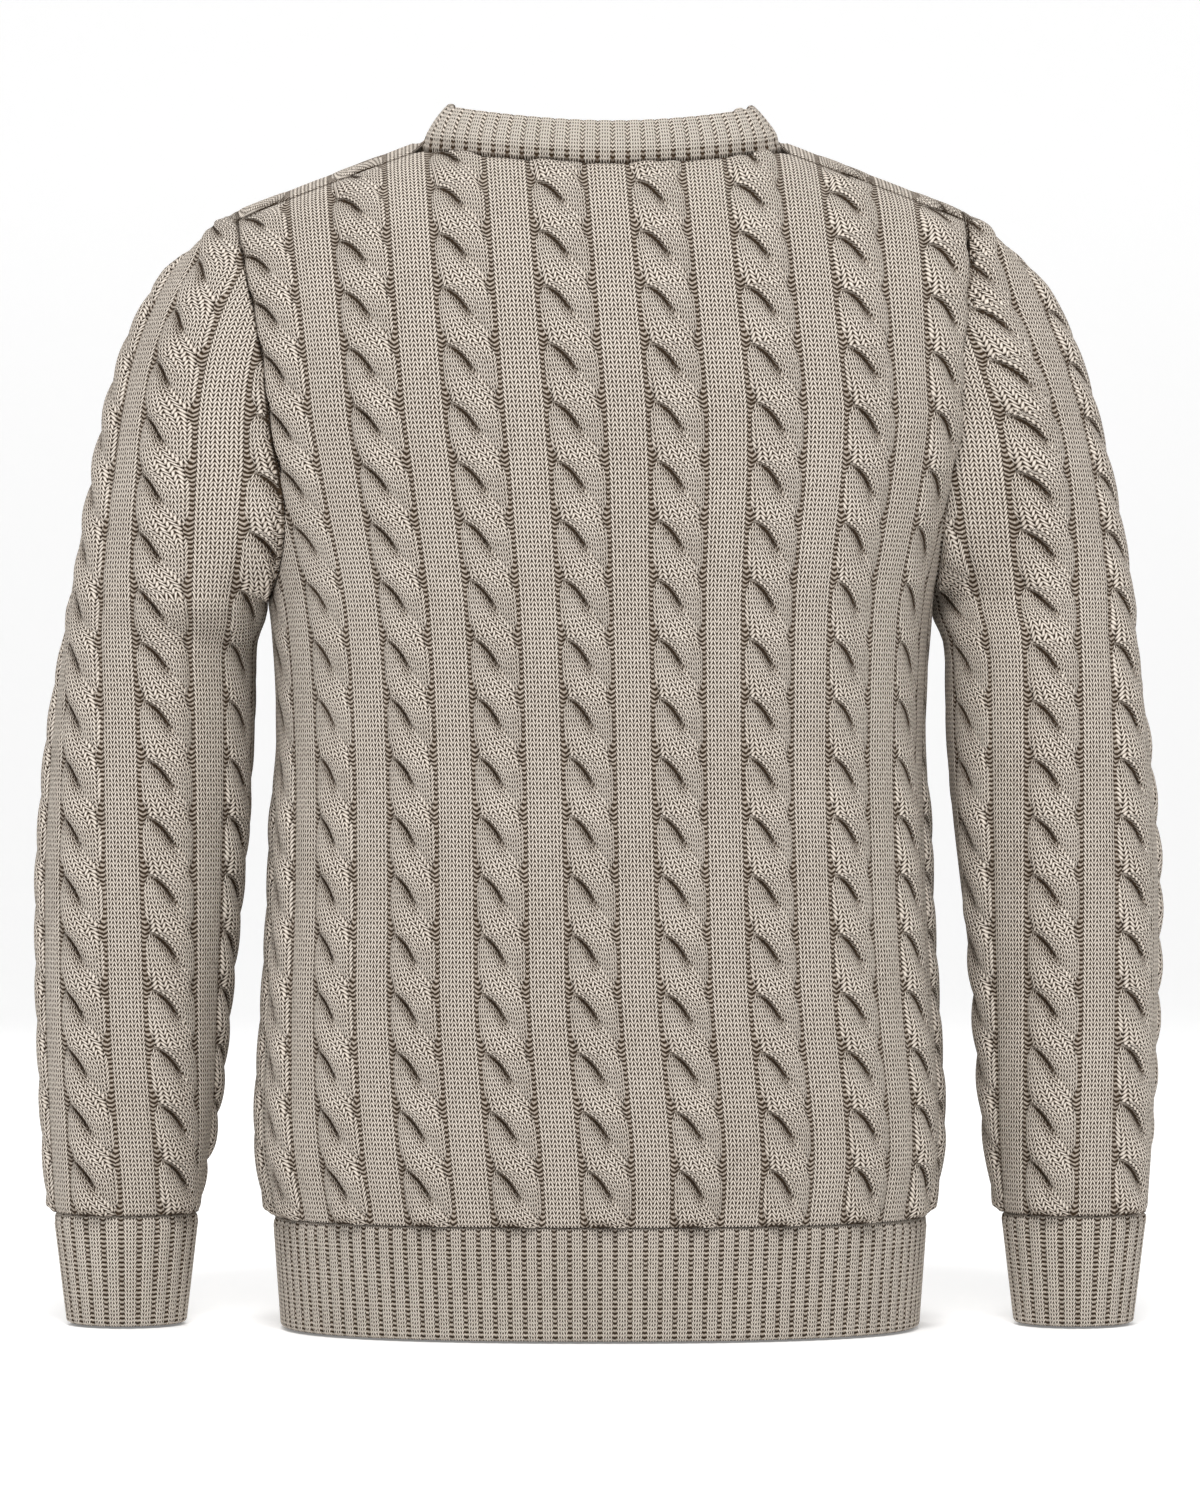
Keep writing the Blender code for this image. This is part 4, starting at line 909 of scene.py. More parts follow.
def panel_cloth(name, panel, material):
    """A panel in two grids, below and above the height where the armhole's straight edges start."""
    cloth = Cloth()
    widths = panel_columns()
    low_c = np.zeros((LOW_ROWS + 1, len(widths)))
    low_points = np.zeros((*low_c.shape, 3))
    armhole = [int(np.argmin(np.abs(widths - side * ARMHOLE_W))) for side in (-1, 1)]
    inside_columns = slice(armhole[0], armhole[1] + 1)
    high_c = np.zeros((HIGH_ROWS + 1, armhole[1] - armhole[0] + 1))
    high_points = np.zeros((*high_c.shape, 3))
    for k, w in enumerate(widths):
        straight = armhole[0] <= k <= armhole[1]
        level = height_level(ARMHOLE_LOW_Z) if straight else panel.underarm_level(w)
        gap = 0.0 if straight else SEAM_GAP
        low_c[:, k] = np.linspace(SEAM_GAP, panel.course_of(w, level) - gap, LOW_ROWS + 1)
        low_points[:, k] = panel.place(w, low_c[:, k])
        if straight:
            column = k - armhole[0]
            high_c[:, column] = np.linspace(low_c[-1, k], panel.top(w), HIGH_ROWS + 1)
            high_points[:, column] = panel.place(w, high_c[:, column])
    low_normals = grid_normals(low_points)
    high_normals = grid_normals(high_points)
    low_normals[-1, inside_columns] = high_normals[0]

    def skin(points, normals, c, w, tops, depth):
        """Points of one skin with their values, with relief outside."""
        w = np.broadcast_to(w, c.shape)
        if depth:
            return points - normals * depth, w, c, FAR, 0.0, INSIDE_HOLLOW_SHADE
        height, painted_line_shade = cabled_relief(w, c, BODY_REPEAT)
        beside_armhole = np.where(c > low_c[-1, armhole[0]], ARMHOLE_W - np.abs(w), CLEAR)
        sewn = np.minimum(np.minimum(tops - c, PANEL_HALF - np.abs(w)), beside_armhole)
        to_ridge = np.where(np.abs(w) > NECK_HALF, tops - c, CLEAR)
        ridge_fade = grow(RIDGE_LEFT, between(to_ridge, *RIDGE_FADE[0 if panel.middle == 0 else 1]))
        fade = seam_fade(sewn) * seam_fade(c) * ridge_fade * pressed(np.abs(normals[..., 0]), points[..., 2])
        moved = points + normals * (height * fade - seam_groove(sewn))[..., None]
        # with the painted shade of creases and seams, and of the hollows
        return moved, w, c, np.minimum(sewn, c) * MM, np.maximum(painted_line_shade, seam_line_shade(sewn)), OUTSIDE_HOLLOW_SHADE

    low_tops = low_c[-1].copy()
    low_tops[inside_columns] = high_c[-1]
    layers = []
    rows_low, rows_high = (every(count + 1, PANEL_THIN[0]) for count in (LOW_ROWS, HIGH_ROWS))
    neck = [int(np.argmin(np.abs(widths - side * NECK_HALF))) for side in (-1, 1)]
    thin = every(len(widths), PANEL_THIN[1], armhole + neck)
    for depth, columns, low_rows, high_rows in (
            (0.0, list(range(len(widths))), list(range(LOW_ROWS + 1)), list(range(HIGH_ROWS + 1))),
            (WALL, thin, rows_low, rows_high)):
        w = widths[columns]
        low = np.ix_(low_rows, columns)
        straight = [k for k in columns if armhole[0] <= k <= armhole[1]]
        first = columns.index(armhole[0])
        high = np.ix_(high_rows[1:], [k - armhole[0] for k in straight])
        inside_from = cloth.count
        below = cloth.add_points(*skin(
            low_points[low], low_normals[low], low_c[low], w, low_tops[columns], depth))
        above = cloth.add_points(*skin(
            high_points[high], high_normals[high], high_c[high], widths[straight], low_tops[straight], depth))
        above = np.concatenate([below[-1:, first:first + len(straight)], above])
        cloth.add_grid(below, outward=not depth)
        cloth.add_grid(above, outward=not depth)
        layers.append((below, above, first, len(straight)))
    inner_of = {}
    below, above, first, straight = layers[0]
    inner_below, inner_above = layers[1][:2]
    thin_above = [k - first for k in thin if first <= k < first + straight]
    for numbers, inner, rows, columns in ((below, inner_below, rows_low, thin),
                                          (above, inner_above, rows_high, thin_above)):
        for row, inner_row in zip(rows, inner):
            inner_of.update(zip(numbers[row, columns].tolist(), inner_row.tolist()))
    last = first + straight
    loop = [*below[0], *below[1:, -1], *below[-1, last - 1:-1][::-1], *above[1:, -1], *above[-1, :-1][::-1],
            *above[1:-1, 0][::-1], *below[-1, 1:first + 1][::-1], *below[1:, 0][::-1]]
    cloth.add_rim([int(number) for number in loop], inner_of)
    return cloth.build(name, body_stitches, material, inside_from)


# -------------------- sleeves
SLEEVE_BACK_COLUMNS = 96
SLEEVE_FRONT_COLUMNS = 124
SLEEVE_LOW_ROWS = 214      # from the cuff to the underarm
SLEEVE_HIGH_ROWS = 140
SLEEVE_THIN = (7, 5)       # the plain inside keeps every 7th row and every 5th column
SLICES = 120               # levels at which the upper sleeve's pattern is measured
LINE_ROUNDS = 12           # how often the cable line is smoothed


def sleeve_stitches(w, c):
    """A face that spans the seam takes its right-hand side's wale."""
    spanning = (w.max(axis=1) - w.min(axis=1) > SLEEVE_REPEAT)[:, None]
    return cabled_stitches(np.where(spanning, w.max(axis=1, keepdims=True), w), c, SLEEVE_REPEAT)


def level_places(points, bend):
    """Heights, and for each the points of the mesh's lines there. Above the underarm a line that has met the
    armhole stays at its end."""
    heights = np.linspace(points[bend, :, 2].min(), points[-1, :, 2].max(), SLICES + 1)[1:]
    upper = points[bend:]
    places = np.stack([np.stack([np.interp(heights, np.maximum.accumulate(upper[:, k, 2]), upper[:, k, axis])
                                 for axis in range(3)], axis=1) for k in range(points.shape[1])], axis=1)
    return heights, places


def sleeve_pattern(sleeve, points, middle, bend):
    """Pattern width and course length of the mesh's points. Courses lie level and wales run up them, measured
    from the sleeve's cable line, so that the armhole cuts the wales as it does on a knitted sleeve."""
    heights, places = level_places(points, bend)
    all_places = np.concatenate([points[:bend], places])
    all_heights = np.concatenate([points[:bend, :, 2].mean(axis=1), heights])
    round_length = np.cumsum(np.linalg.norm(np.diff(all_places, axis=1), axis=2), axis=1)
    round_length = np.concatenate([np.zeros((len(all_places), 1)), round_length], axis=1)
    round_length = round_length - round_length[:, middle:middle + 1]
    line_column = 1 if sleeve.side < 0 else 2
    line_width, line_points = [], []
    for row, width, height in zip(all_places, round_length, all_heights):
        outward = sleeve.side * row[:, 0]
        outer = int(np.argmax(outward))
        back = slice(outer, len(row)) if sleeve.side < 0 else slice(0, outer + 1)
        x = np.maximum.accumulate(row[back, 0])
        wanted = sleeve.side * float(read_table(SLEEVE_CABLE_LINE, line_column, height))
        line_width.append(np.interp(wanted, x, width[back]))
        line_points.append([np.interp(wanted, x, row[back, axis]) for axis in range(3)])
    line_width = smooth_row(np.array(line_width), LINE_ROUNDS)
    line_course = length_along(smooth_row(np.array(line_points), LINE_ROUNDS))
    start = -sleeve.side * 0.5 * SLEEVE_REPEAT
    w, c = np.zeros(points.shape[:2]), np.zeros(points.shape[:2])
    for k in range(points.shape[1]):
        height = points[:, k, 2]
        inner = sleeve.side * (np.interp(height, all_heights, line_width)
                               - np.interp(height, all_heights, round_length[:, k]))
        spread = np.where(inner > 0, read_profile(SLEEVE_SPREAD, 1, height), 1.0)
        w[:, k] = start - sleeve.side * inner * spread
        c[:, k] = np.interp(height, all_heights, line_course)
    return w, c


def smooth_row(values, times):
    for _ in range(times):
        values = np.concatenate([values[:1], (values[:-2] + 2 * values[1:-1] + values[2:]) / 4, values[-1:]])
    return values


def sleeve_cloth(name, sleeve, material):
    """A sleeve's tube from the cuff to the armhole. Its lines start and end at the seam."""
    shares = [np.linspace(0.0, 1.0, count + 1) for count in (SLEEVE_BACK_COLUMNS, SLEEVE_FRONT_COLUMNS)]
    left, right = (0, 1) if sleeve.side > 0 else (1, 0)
    lines = [(left, share) for share in shares[left][::-1]] + [(right, share) for share in shares[right][1:-1]]
    middle = len(shares[left]) - 1
    read = [sleeve.column(half, share, SLEEVE_LOW_ROWS, SLEEVE_HIGH_ROWS) for half, share in lines]
    points, own_w, own_c = (np.stack([column[k] for column in read], axis=1) for k in range(3))
    bend = SLEEVE_LOW_ROWS
    points[bend:, 0] = points[bend, 0]                # above the underarm the seam is one point
    normals = grid_normals(points, closed=True)
    normals[bend:, 0] = normals[bend - 1, 0]
    w, c = sleeve_pattern(sleeve, points, middle, bend)
    to_seam = np.minimum(own_w - own_w[:, :1], np.abs(own_w[:, -1:]) - own_w)
    sewn = np.minimum(np.maximum(to_seam, 0.0), own_c[-1] - own_c)
    height, painted_line_shade = cabled_relief(w, c, SLEEVE_REPEAT)
    facing_up = np.clip(normals[..., 2], 0.0, 1.0)
    fade_length = ARMHOLE_FADE * (1.0 + (ARMHOLE_TOP_FADE - 1.0) * facing_up)
    fade = seam_fade(sewn, fade_length) * seam_fade(own_c)
    fade = fade * pressed(-sleeve.side * normals[..., 0], points[..., 2])
    outer = points + normals * (height * fade - seam_groove(sewn))[..., None]
    edge = np.minimum(sewn, own_c)
    rows, columns = every(len(c), SLEEVE_THIN[0], [bend]), every(len(lines), SLEEVE_THIN[1])
    thin = np.ix_(rows, columns)
    # the outer skin takes the painted shade of creases and seams, and of the hollows
    grids = ((outer, w, c, edge * MM, np.maximum(painted_line_shade, seam_line_shade(edge)), OUTSIDE_HOLLOW_SHADE),
             (points[thin] - normals[thin] * WALL, w[thin], c[thin], FAR, 0.0, INSIDE_HOLLOW_SHADE))
    return tube_cloth(name, grids, columns, sleeve_stitches, material, (bend, rows.index(bend)))


# -------------------- ribs
BODY_RIB_ROWS = 34
CUFF_RIB_ROWS = 40
HEM_RIB_COLUMNS = 10       # points across one rib
CUFF_RIB_COLUMNS = 12
RIB_THIN = (8, 4)          # the plain inside keeps every 8th row and every 4th column
RIB_ROW_PULL = 0.35
RIB_TOP_ROUND = 0.0012
EDGE_LEAST = 0.06          # the rounding starts at this share of its reach
RIB_TOP_LEFT = 0.25        # a rib's height at the top edge
RIB_STARTS = 0.0005        # and from where below it the rib grows, on the whole
RIB_START_VARIES = 0.0022
RIB_START_WAVES = (2.4, 0.83)      # radians from rib to rib
RIB_GROWS = 0.0050
# painted shade along the rib's top seam
RIB_SEAM_LINE_SHADE = 0.05


def body_ring(height, count):
    """A level ring round the hem rib, to the right from the centre front as seen from outside."""
    half_width, *depths = (float(read_profile(HEM_PROFILE, k, height)) for k in (1, 2, 3))
    around = np.arange(count) * 4.0 / count - 2.0
    share, front = quarter_of(around)
    places = np.linspace(0, 1, QUARTER_POINTS)
    (back_x, back_y), (front_x, front_y) = (
        [np.interp(share, places, values) for values in quarter_section(half_width, depth).T]
        for depth in depths)
    x, y = np.where(front, front_x, back_x), np.where(front, front_y, -back_y)
    return np.stack([np.copysign(x, around), y, np.full(count, height)], axis=1)


def cuff_ring(side, height, count):
    columns = (1, 2, 3, 4)
    centre, half_width, half_depth, forward = (float(read_profile(CUFF_PROFILE, k, height)) for k in columns)
    angle = np.arange(count) * 2 * math.pi / count
    return np.stack([side * centre + half_width * np.cos(angle),
                     forward + half_depth * np.sin(angle), np.full(count, height)], axis=1)


def closer_rows(count, pull):
    """Shares from 0 to 1, closer together near both ends."""
    share = np.linspace(0.0, 1.0, count + 1)
    return share + pull * share * (1 - share) * (2 * share - 1)


def edge_round(distance, reach):
    """Share of the wall's thickness that is left beside an edge."""
    return np.sqrt(np.clip(1.0 - (1.0 - np.clip(distance / reach, EDGE_LEAST, 1.0)) ** 2, 0.0, 1.0))


def rib_cloth(name, ring_at, ribs, across, row_count, material):
    """A ribbed tube. The ribs grow out of the top edge, not all at the same height."""
    count = ribs * across
    c = closer_rows(row_count, RIB_ROW_PULL)[:, None] * (RIB_TOP_Z - SEAM_GAP - HEM_Z)
    below_top = c[-1] - c
    base = np.stack([ring_at(height, count) for height in HEM_Z + c[:, 0]])
    place = np.broadcast_to(np.arange(count) / across, base.shape[:2])
    number = np.floor(place)
    quick, slow = RIB_START_WAVES
    start = RIB_STARTS + RIB_START_VARIES * np.sin(number * quick) * np.sin(number * slow + 1.0)
    relief = RIB_HIGH * rib_relief(place) * grow(RIB_TOP_LEFT, smooth_step((below_top - start) / RIB_GROWS))
    left = edge_round(c, EDGE_ROUND) * edge_round(below_top, RIB_TOP_ROUND)
    spacing = np.linalg.norm(base[0, 1] - base[0, 0]) * across
    rows = every(row_count + 1, RIB_THIN[0], (1, 2, row_count - 1))
    normals = grid_normals(base, closed=True)
    return ribbed_tube(name, base, normals, relief, left, place, c, rows, spacing, material,
                       below_top, RIB_SEAM_LINE_SHADE, RIB_HOLLOW_SHADE)


def ribbed_tube(name, base, normals, relief, left, place, c, rows, spacing, material, to_seam, painted_line_shade, depth):
    """A ribbed wall round the tube of points base. left is the share of its thickness that is left beside its
    rounded edges, and place and c are its knit directions, place counted in ribs."""
    outer = base + normals * ((WALL / 2 + relief) * left - WALL / 2)[..., None]
    inner = base - normals * (WALL / 2 + WALL / 2 * left)[..., None]
    columns = list(range(0, base.shape[1], RIB_THIN[1]))
    thin = np.ix_(rows, columns)
    c = np.broadcast_to(c, place.shape)
    # the outer skin's last two values weigh the painted shade along its seam and in its hollows
    grids = ((outer, place, c, to_seam * MM, painted_line_shade, depth),
             (inner[thin], place[thin], c[thin], FAR, 0.0, INSIDE_HOLLOW_SHADE))
    return tube_cloth(name, grids, columns, rib_stitches(spacing), material)


# -------------------- neckband
BAND_COLUMNS = 12          # points across one rib
BAND_ROWS = 22
BAND_THIN_ROWS = 6
RIM_POINTS = 61            # points read on each panel's neck edge
BAND_ROW_PULL = 0.30
BAND_TOP_ROUND = 0.0020
BAND_FOOT_ROUND = 0.0008
RIM_ROUNDS = (48, 12, 240)         # how often the directions along, out of and into the neck are averaged
FOOT_ROLL = (0.0013, 0.0050, 0.0026)       # height, place and reach of the roll below the ribs
FOOT_LINK = (0.0008, 0.0014, 0.0008)       # and of the chain that links the band on
BAND_RIBS_GROW = (0.0035, 0.0085)
ROLL_SINKS = 0.6           # share of the roll that goes where the ribs have grown
# painted shade along the band's foot seam
BAND_SEAM_LINE_SHADE = 0.3


def soften(vectors, times):
    """Unit vectors round a ring, averaged with their neighbours."""
    for _ in range(times):
        vectors = (np.roll(vectors, 1, axis=0) + 2 * vectors + np.roll(vectors, -1, axis=0)) / 4
    return unit(vectors)


def neckband_cloth(name, panels, material):
    """The band stands on the panels' own edge and leans in."""
    across = np.linspace(-NECK_HALF, NECK_HALF, RIM_POINTS)[:-1]
    both = np.array([panel.edge_point(w, panel.top(w)) for panel in panels for w in across])
    both = np.concatenate([both, both[:1]])
    along = length_along(both[:, :3])
    count = BAND_RIBS * BAND_COLUMNS
    wanted = np.arange(count) * along[-1] / count
    base = np.stack([np.interp(wanted, along, both[:, axis]) for axis in range(6)], axis=1)
    edge, outward = base[:, :3], unit(base[:, 3:])
    along_rounds, out_rounds, in_rounds = RIM_ROUNDS
    tangent = soften(np.roll(edge, -1, axis=0) - np.roll(edge, 1, axis=0), along_rounds)
    hole = soften(np.cross(outward, tangent), out_rounds)
    inward = soften(np.cross(UP, tangent * (1.0 - UP)), in_rounds)
    rise, lean = (read_profile(BAND_STAND, column, inward[:, 1])[:, None] for column in (1, 2))
    upward = UP * rise + inward * lean
    face = unit(np.cross(tangent, upward))
    share = closer_rows(BAND_ROWS, BAND_ROW_PULL)[:, None, None]
    turned = smooth_step(share / BAND_FOOT)
    normals = unit(outward[None] * (1 - turned) + face[None] * turned)
    base = edge + hole * BAND_GAP + upward * share + normals * BAND_BULGE * 4 * share * (1 - share)
    place = np.broadcast_to(np.arange(count) / BAND_COLUMNS, base.shape[:2])
    c = share[..., 0] * BAND_HEIGHT
    grown = between(c, *BAND_RIBS_GROW)
    roll, link = (high * np.exp(-((c - middle) / reach) ** 2) for high, middle, reach in (FOOT_ROLL, FOOT_LINK))
    relief = BAND_RIB_HIGH * rib_relief(place) * grown + roll * (1 - ROLL_SINKS * grown) + link
    left = edge_round(BAND_HEIGHT - c, BAND_TOP_ROUND) * edge_round(c, BAND_FOOT_ROUND)
    rows = every(BAND_ROWS + 1, BAND_THIN_ROWS, (BAND_ROWS - 2, BAND_ROWS - 1))
    return ribbed_tube(name, base, normals, relief, left, place, c, rows, along[-1] / BAND_RIBS, material,
                       c, BAND_SEAM_LINE_SHADE, BAND_HOLLOW_SHADE * grown)


# -------------------- yarn
class Nodes:
    """Short words for making a material's nodes."""

    def __init__(self, material):
        self.tree = material.node_tree

    def add(self, kind, **settings):
        node = self.tree.nodes.new(kind)
        for key, value in settings.items():
            setattr(node, key, value)
        return node

    def plug(self, source, socket):
        if isinstance(source, (int, float)):
            socket.default_value = source
        else:
            self.tree.links.new(source, socket)

    def math(self, operation, first, second=0.0, third=0.0):
        node = self.add("ShaderNodeMath", operation=operation)
        for value, socket in zip((first, second, third), node.inputs):
            self.plug(value, socket)
        return node.outputs[0]

    def crest(self, value, power):
        """1 in the middle of every whole step, 0 at its ends."""
        part = self.math("FRACT", value)
        off = self.math("ABSOLUTE", self.math("MULTIPLY_ADD", part, 2.0, -1.0))
        return self.math("SUBTRACT", 1.0, self.math("POWER", off, power))

    def mix(self, share, first, second):
        node = self.add("ShaderNodeMix", data_type="FLOAT")
        for value, socket in ((share, node.inputs[0]), (first, node.inputs[2]), (second, node.inputs[3])):
            self.plug(value, socket)
        return node.outputs[0]

    def uv(self, name):
        separate = self.add("ShaderNodeSeparateXYZ")
        self.plug(self.add("ShaderNodeUVMap", uv_map=name).outputs[0], separate.inputs[0])
        return separate.outputs[0], separate.outputs[1]

    def step(self, value, low, high):
        """0 at low, 1 at high, and smooth between them."""
        node = self.add("ShaderNodeMapRange", interpolation_type="SMOOTHSTEP")
        for number, socket in zip((value, low, high), node.inputs):
            self.plug(number, socket)
        return node.outputs[0]

    def noise(self, coordinates, scale, detail):
        node = self.add("ShaderNodeTexNoise")
        node.inputs["Scale"].default_value = scale
        node.inputs["Detail"].default_value = detail
        self.plug(coordinates, node.inputs["Vector"])
        return node.outputs["Fac"]

    def attribute(self, name):
        return self.add("ShaderNodeAttribute", attribute_name=name).outputs["Fac"]

    def product(self, first, second):
        return self.math("MULTIPLY", first, second)

    def weighted(self, total, *parts):
        """total and every value times its weight."""
        for value, weight in parts:
            total = self.math("MULTIPLY_ADD", value, weight, total)
        return total


# The yarn from light to dark: its darks are mostly painted shade, partly the melange's own darker fibre
YARN_LIGHT = (0.86, 0.775, 0.68, 1.0)
YARN_MIDDLE = (0.50, 0.43, 0.36, 1.0)
YARN_DARK = (0.056, 0.034, 0.018, 1.0)
YARN_MIDDLE_PLACE = 0.36   # from light, 0, to dark, 1
SHADE_START = 0.93         # from light to dark, before what follows adds to it
# Painted shade: lower yarn, creases and seams, the strand under a crease and the hollows are darkened; fibre,
# fleck and cloud are the melange's own tone
SHADE_HEIGHT = -1.80
SHADE_CREASE = 0.80
SHADE_UNDER_STRAND = 0.42
SHADE_BY_HOLLOWS = 0.14
SHADE_FIBRE = 0.60
SHADE_FLECK = 0.50
SHADE_CLOUD = 0.20
FIBRE = (1500.0, 2.0)      # scale and detail of the noise
FLECK = (420.0, 3.0)
CLOUD = (30.0, 2.0)
BUMP_HEIGHT = 0.0018
BUMP_FIBRE = 0.30
BUMP_CREASE = -1.3
KNIT_LOW = 0.40            # height of a knit stitch where loop, leg and hole are 0
KNIT_LOOP = 0.40
KNIT_LEG = 0.22
KNIT_HOLE = -1.20          # low, and so painted dark as shade, only between two loops
LOOP_SLANT = -1.30         # how far each leg of a V climbs, in courses
LOOP_POWER = 2.0
LEG_POWER = 2.2
BAR_POWER = 1.8
BAR_DEPTH = -0.12          # the bars are lower, and so painted darker, where the painted hollow shade is stronger
BAR_SHIFT = 0.22           # the purl bars curve by this many courses a millimetre into the gutter
GUTTER_STARTS = (-0.15, 0.30)      # millimetres
CREASE_DARK = (1.60, 0.25)         # millimetres from a crease where its painted shade line starts and is full
CREASE_SHADE = (7.0, 0.5)          # and the painted shade on the strand under it
CREASE_ABOVE = (-0.8, 0.0)


def yarn_material(name, bar_high):
    """Matte cotton: V-shaped knit stitches, purl bars in gutters and inside, flecked with lighter and darker
    fibre, with painted shade where the stitches lie low, along creases and seams, under a crossing strand and
    in the hollows. The map named stitches counts wales and loops along a strand, courses the plain wales and
    courses; lines holds millimetres to a crease and millimetres into a gutter. bar_high is the height of a purl
    bar beside a loop's 1."""
    material = bpy.data.materials.new(name)
    material.use_nodes = True
    nodes = Nodes(material)
    shader = material.node_tree.nodes["Principled BSDF"]
    u, v = nodes.uv("stitches")
    _, plain_v = nodes.uv("courses")
    to_crease, in_gutter = nodes.uv("lines")
    # strengths of the painted shade along creases and seams, and in the hollows
    painted_line_shade, depth = nodes.attribute("crease"), nodes.attribute("depth")
    # Painted shade: a dark line along each crease and seam, and shade on the strand under a crease
    crease = nodes.product(nodes.step(nodes.math("ABSOLUTE", to_crease), *CREASE_DARK), painted_line_shade)
    shaded = nodes.product(nodes.step(to_crease, *CREASE_SHADE), painted_line_shade)
    shaded = nodes.product(shaded, nodes.step(to_crease, *CREASE_ABOVE))
    off = nodes.math("ABSOLUTE", nodes.math("MULTIPLY_ADD", nodes.math("FRACT", u), 2.0, -1.0))
    loop = nodes.crest(nodes.weighted(v, (off, LOOP_SLANT)), LOOP_POWER)    # one loop after the other up a wale
    leg = nodes.crest(off, LEG_POWER)                                       # 1 in the middle of a loop's leg
    hole = nodes.product(nodes.math("SUBTRACT", 1.0, loop), nodes.math("SUBTRACT", 1.0, leg))
    knit = nodes.weighted(KNIT_LOW, (loop, KNIT_LOOP), (leg, KNIT_LEG), (hole, KNIT_HOLE))
    bar = nodes.crest(nodes.weighted(plain_v, (in_gutter, BAR_SHIFT)), BAR_POWER)
    bar = nodes.product(bar, nodes.weighted(bar_high, (depth, BAR_DEPTH)))
    height = nodes.mix(nodes.step(in_gutter, *GUTTER_STARTS), knit, bar)
    place = nodes.add("ShaderNodeTexCoord").outputs["Object"]
    fibre, fleck, cloud = (nodes.noise(place, scale, detail) for scale, detail in (FIBRE, FLECK, CLOUD))
    bump = nodes.add("ShaderNodeBump")
    bump.inputs["Strength"].default_value = 1.0
    bump.inputs["Distance"].default_value = BUMP_HEIGHT
    nodes.plug(nodes.weighted(height, (fibre, BUMP_FIBRE), (crease, BUMP_CREASE)), bump.inputs["Height"])
    nodes.plug(bump.outputs[0], shader.inputs["Normal"])
    # painted shade from the yarn's height, creases, seams, hollows and the strand above; fibre, fleck and cloud
    # are the melange's own tone
    shade = nodes.weighted(
        SHADE_START, (height, SHADE_HEIGHT), (crease, SHADE_CREASE), (depth, SHADE_BY_HOLLOWS),
        (shaded, SHADE_UNDER_STRAND), (fibre, SHADE_FIBRE), (fleck, SHADE_FLECK), (cloud, SHADE_CLOUD))
    ramp = nodes.add("ShaderNodeValToRGB")
    light, dark = ramp.color_ramp.elements
    light.position, light.color = 0.0, YARN_LIGHT
    dark.position, dark.color = 1.0, YARN_DARK
    ramp.color_ramp.elements.new(YARN_MIDDLE_PLACE).color = YARN_MIDDLE
    nodes.plug(shade, ramp.inputs[0])
    nodes.plug(ramp.outputs[0], shader.inputs["Base Color"])
    for socket, value in (("Roughness", 0.95), ("Specular IOR Level", 0.05), ("Sheen Weight", 0.03),
                          ("Sheen Roughness", 0.5)):
        shader.inputs[socket].default_value = value
    return material


# -------------------- the sweater
BACK_FLAT = (2 * PANEL_HALF, 0.638)        # to its shoulder seams
FRONT_FLAT = (2 * PANEL_HALF, 0.735)       # over the shoulders to its seams
SLEEVE_FLAT = (0.400, 0.580)
NECKBAND_FLAT = (0.560, 0.029)
HEM_FLAT = (1.040, 0.064)
CUFF_FLAT = (0.230, 0.064)
BACK_AREA = 0.309                          # knitted to shape, so less than width times height
FRONT_AREA = 0.318
SLEEVE_AREA = 0.170


def make_sweater():
    """Every knitted piece, listed with the flat size that it is knitted to; the list is not passed on."""
    cable_yarn = yarn_material("cable_yarn", 0.88)
    rib_yarn = yarn_material("rib_yarn", 0.80)
    neck_yarn = yarn_material("neck_yarn", 0.60)
    back, front = BodyPanel(0), BodyPanel(2)
    sheets = [
        (panel_cloth("back_panel", back, cable_yarn), BACK_FLAT, BACK_AREA),
        (panel_cloth("front_panel", front, cable_yarn), FRONT_FLAT, FRONT_AREA),
        (neckband_cloth("neckband", (back, front), neck_yarn), NECKBAND_FLAT, None),
        (rib_cloth("hem_rib", body_ring, HEM_RIBS, HEM_RIB_COLUMNS, BODY_RIB_ROWS, rib_yarn), HEM_FLAT, None),
    ]
    for name, side in (("left", -1), ("right", 1)):
        sleeve = Sleeve(side, back, front)
        sheets.append((sleeve_cloth("sleeve_" + name, sleeve, cable_yarn), SLEEVE_FLAT, SLEEVE_AREA))

        def ring_at(height, count, side=side):
            return cuff_ring(side, height, count)
        cuff = rib_cloth("cuff_" + name, ring_at, CUFF_RIBS, CUFF_RIB_COLUMNS, CUFF_RIB_ROWS, rib_yarn)
        sheets.append((cuff, CUFF_FLAT, None))


# -------------------- floor, light, camera
FLOOR_RUN = 6.0            # how far the floor goes each way
WALL_RISE = 5.0
SWEEP_RADIUS = 1.2
SWEEP_STEPS = 16
MIDDLE = (0.0, 0.0, -0.35)         # of the sweater
LIGHTS = (
    # name, place, size, power
    ("key", (0.0, -2.2, 2.8), 1.2, 100.0),
    ("fill_back", (-0.8, 2.4, 1.6), 1.6, 30.0),
)
WORLD_STRENGTH = 0.62
CAMERA_PLACE = (0.0, -3.7, -0.351)
CAMERA_LENS = 154.0


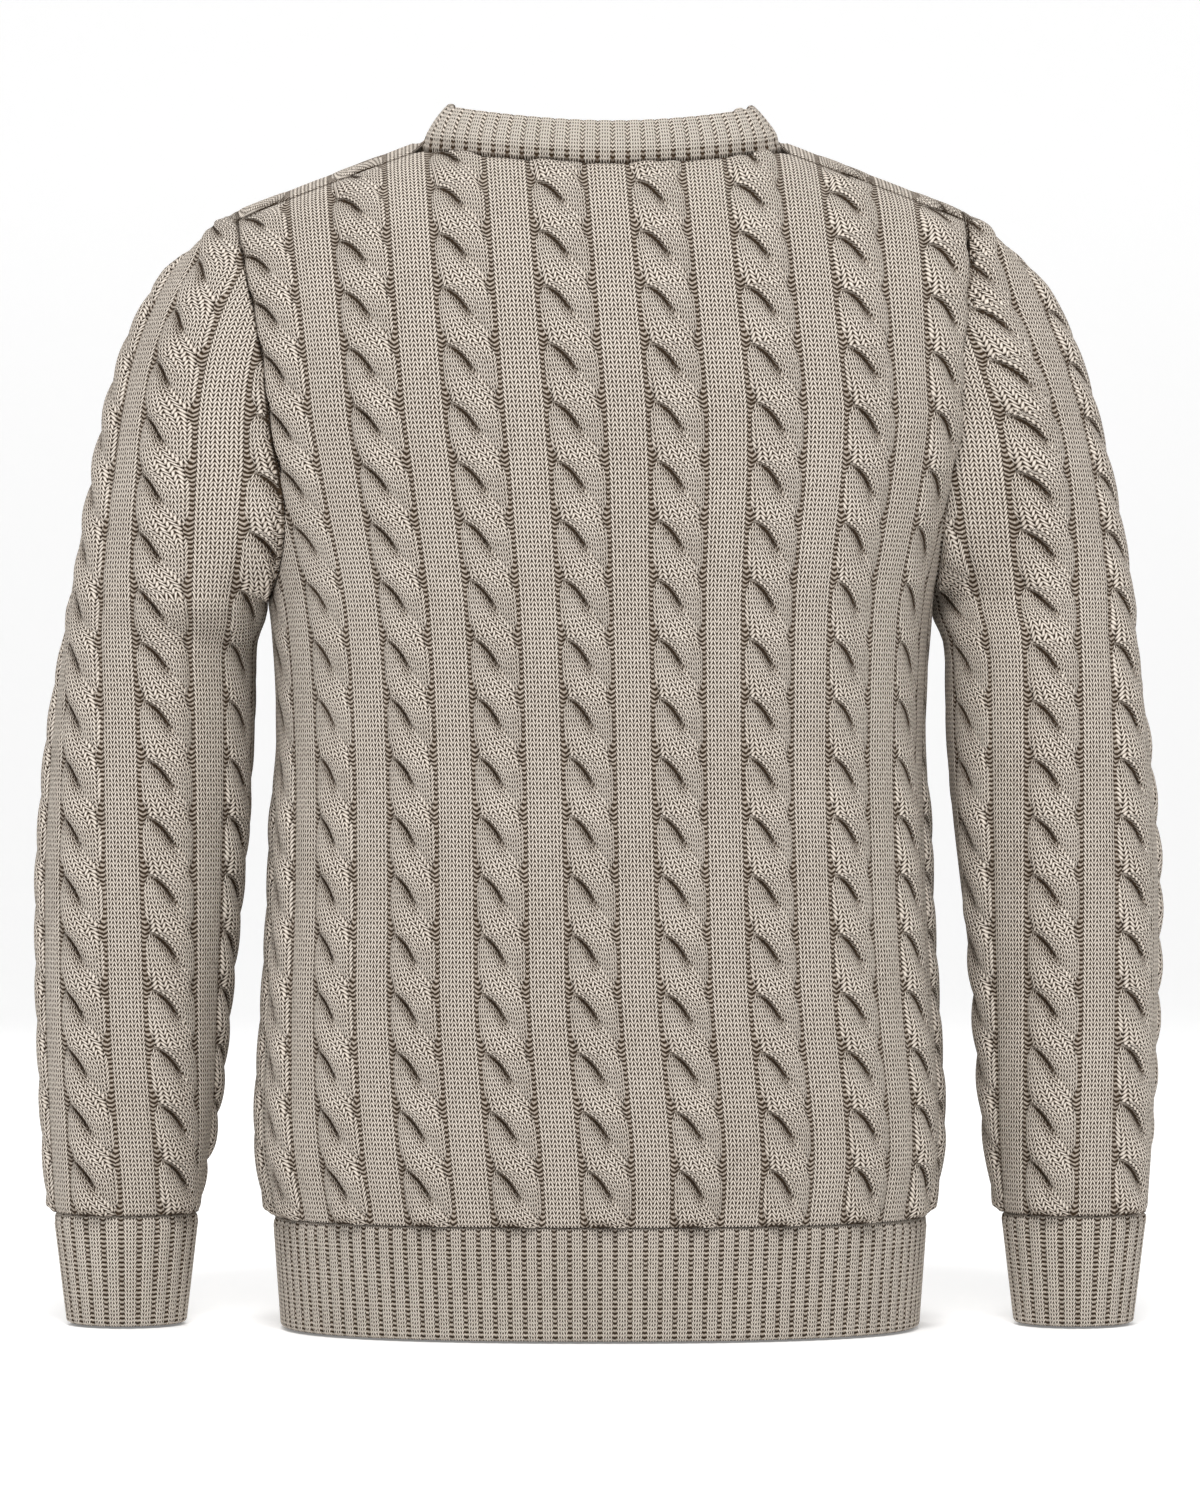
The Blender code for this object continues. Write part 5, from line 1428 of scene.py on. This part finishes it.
def make_floor():
    """A white floor that sweeps up behind."""
    back = FLOOR_RUN - SWEEP_RADIUS
    profile = [(-FLOOR_RUN, 0.0), (back, 0.0)]
    profile += [(back + SWEEP_RADIUS * math.sin(a), SWEEP_RADIUS - SWEEP_RADIUS * math.cos(a))
                for a in np.linspace(0.0, math.pi / 2, SWEEP_STEPS + 1)[1:]]
    profile.append((FLOOR_RUN, WALL_RISE))
    points = [(x, y, FLOOR_Z + z) for y, z in profile for x in (-FLOOR_RUN, FLOOR_RUN)]
    faces = [(k, k + 1, k + 3, k + 2) for k in range(0, len(points) - 2, 2)]
    mesh = bpy.data.meshes.new("floor")
    mesh.from_pydata(points, [], faces)
    mesh.shade_smooth()
    material = bpy.data.materials.new("floor_white")
    material.use_nodes = True
    shader = material.node_tree.nodes["Principled BSDF"]
    for socket, value in (("Base Color", (0.93, 0.93, 0.93, 1.0)), ("Roughness", 0.9),
                          ("Emission Color", (1.0, 1.0, 1.0, 1.0)), ("Emission Strength", 0.19)):
        shader.inputs[socket].default_value = value
    mesh.materials.append(material)
    put_in_scene("floor", mesh)


def put_in_scene(name, data, place=(0.0, 0.0, 0.0)):
    thing = bpy.data.objects.new(name, data)
    thing.location = place
    bpy.context.scene.collection.objects.link(thing)
    return thing


def make_lights():
    world = bpy.data.worlds.new("studio")
    world.use_nodes = True
    background = world.node_tree.nodes["Background"]
    background.inputs["Color"].default_value = (1.0, 1.0, 1.0, 1.0)
    background.inputs["Strength"].default_value = WORLD_STRENGTH
    bpy.context.scene.world = world
    for name, place, size, power in LIGHTS:
        light = bpy.data.lights.new(name, "AREA")
        light.shape = "DISK"
        light.size = size
        light.energy = power
        lamp = put_in_scene(name, light, place)
        lamp.rotation_euler = (Vector(MIDDLE) - Vector(place)).to_track_quat("-Z", "Y").to_euler()


def make_camera():
    camera = bpy.data.cameras.new("camera")
    camera.lens = CAMERA_LENS
    holder = put_in_scene("camera", camera, CAMERA_PLACE)
    holder.rotation_euler = (math.pi / 2, 0.0, 0.0)
    bpy.context.scene.camera = holder


bpy.ops.object.select_all(action="DESELECT")
make_camera()
make_sweater()
make_floor()
make_lights()
bpy.context.scene.view_settings.view_transform = "Standard"

bpy.context.view_layer.update()
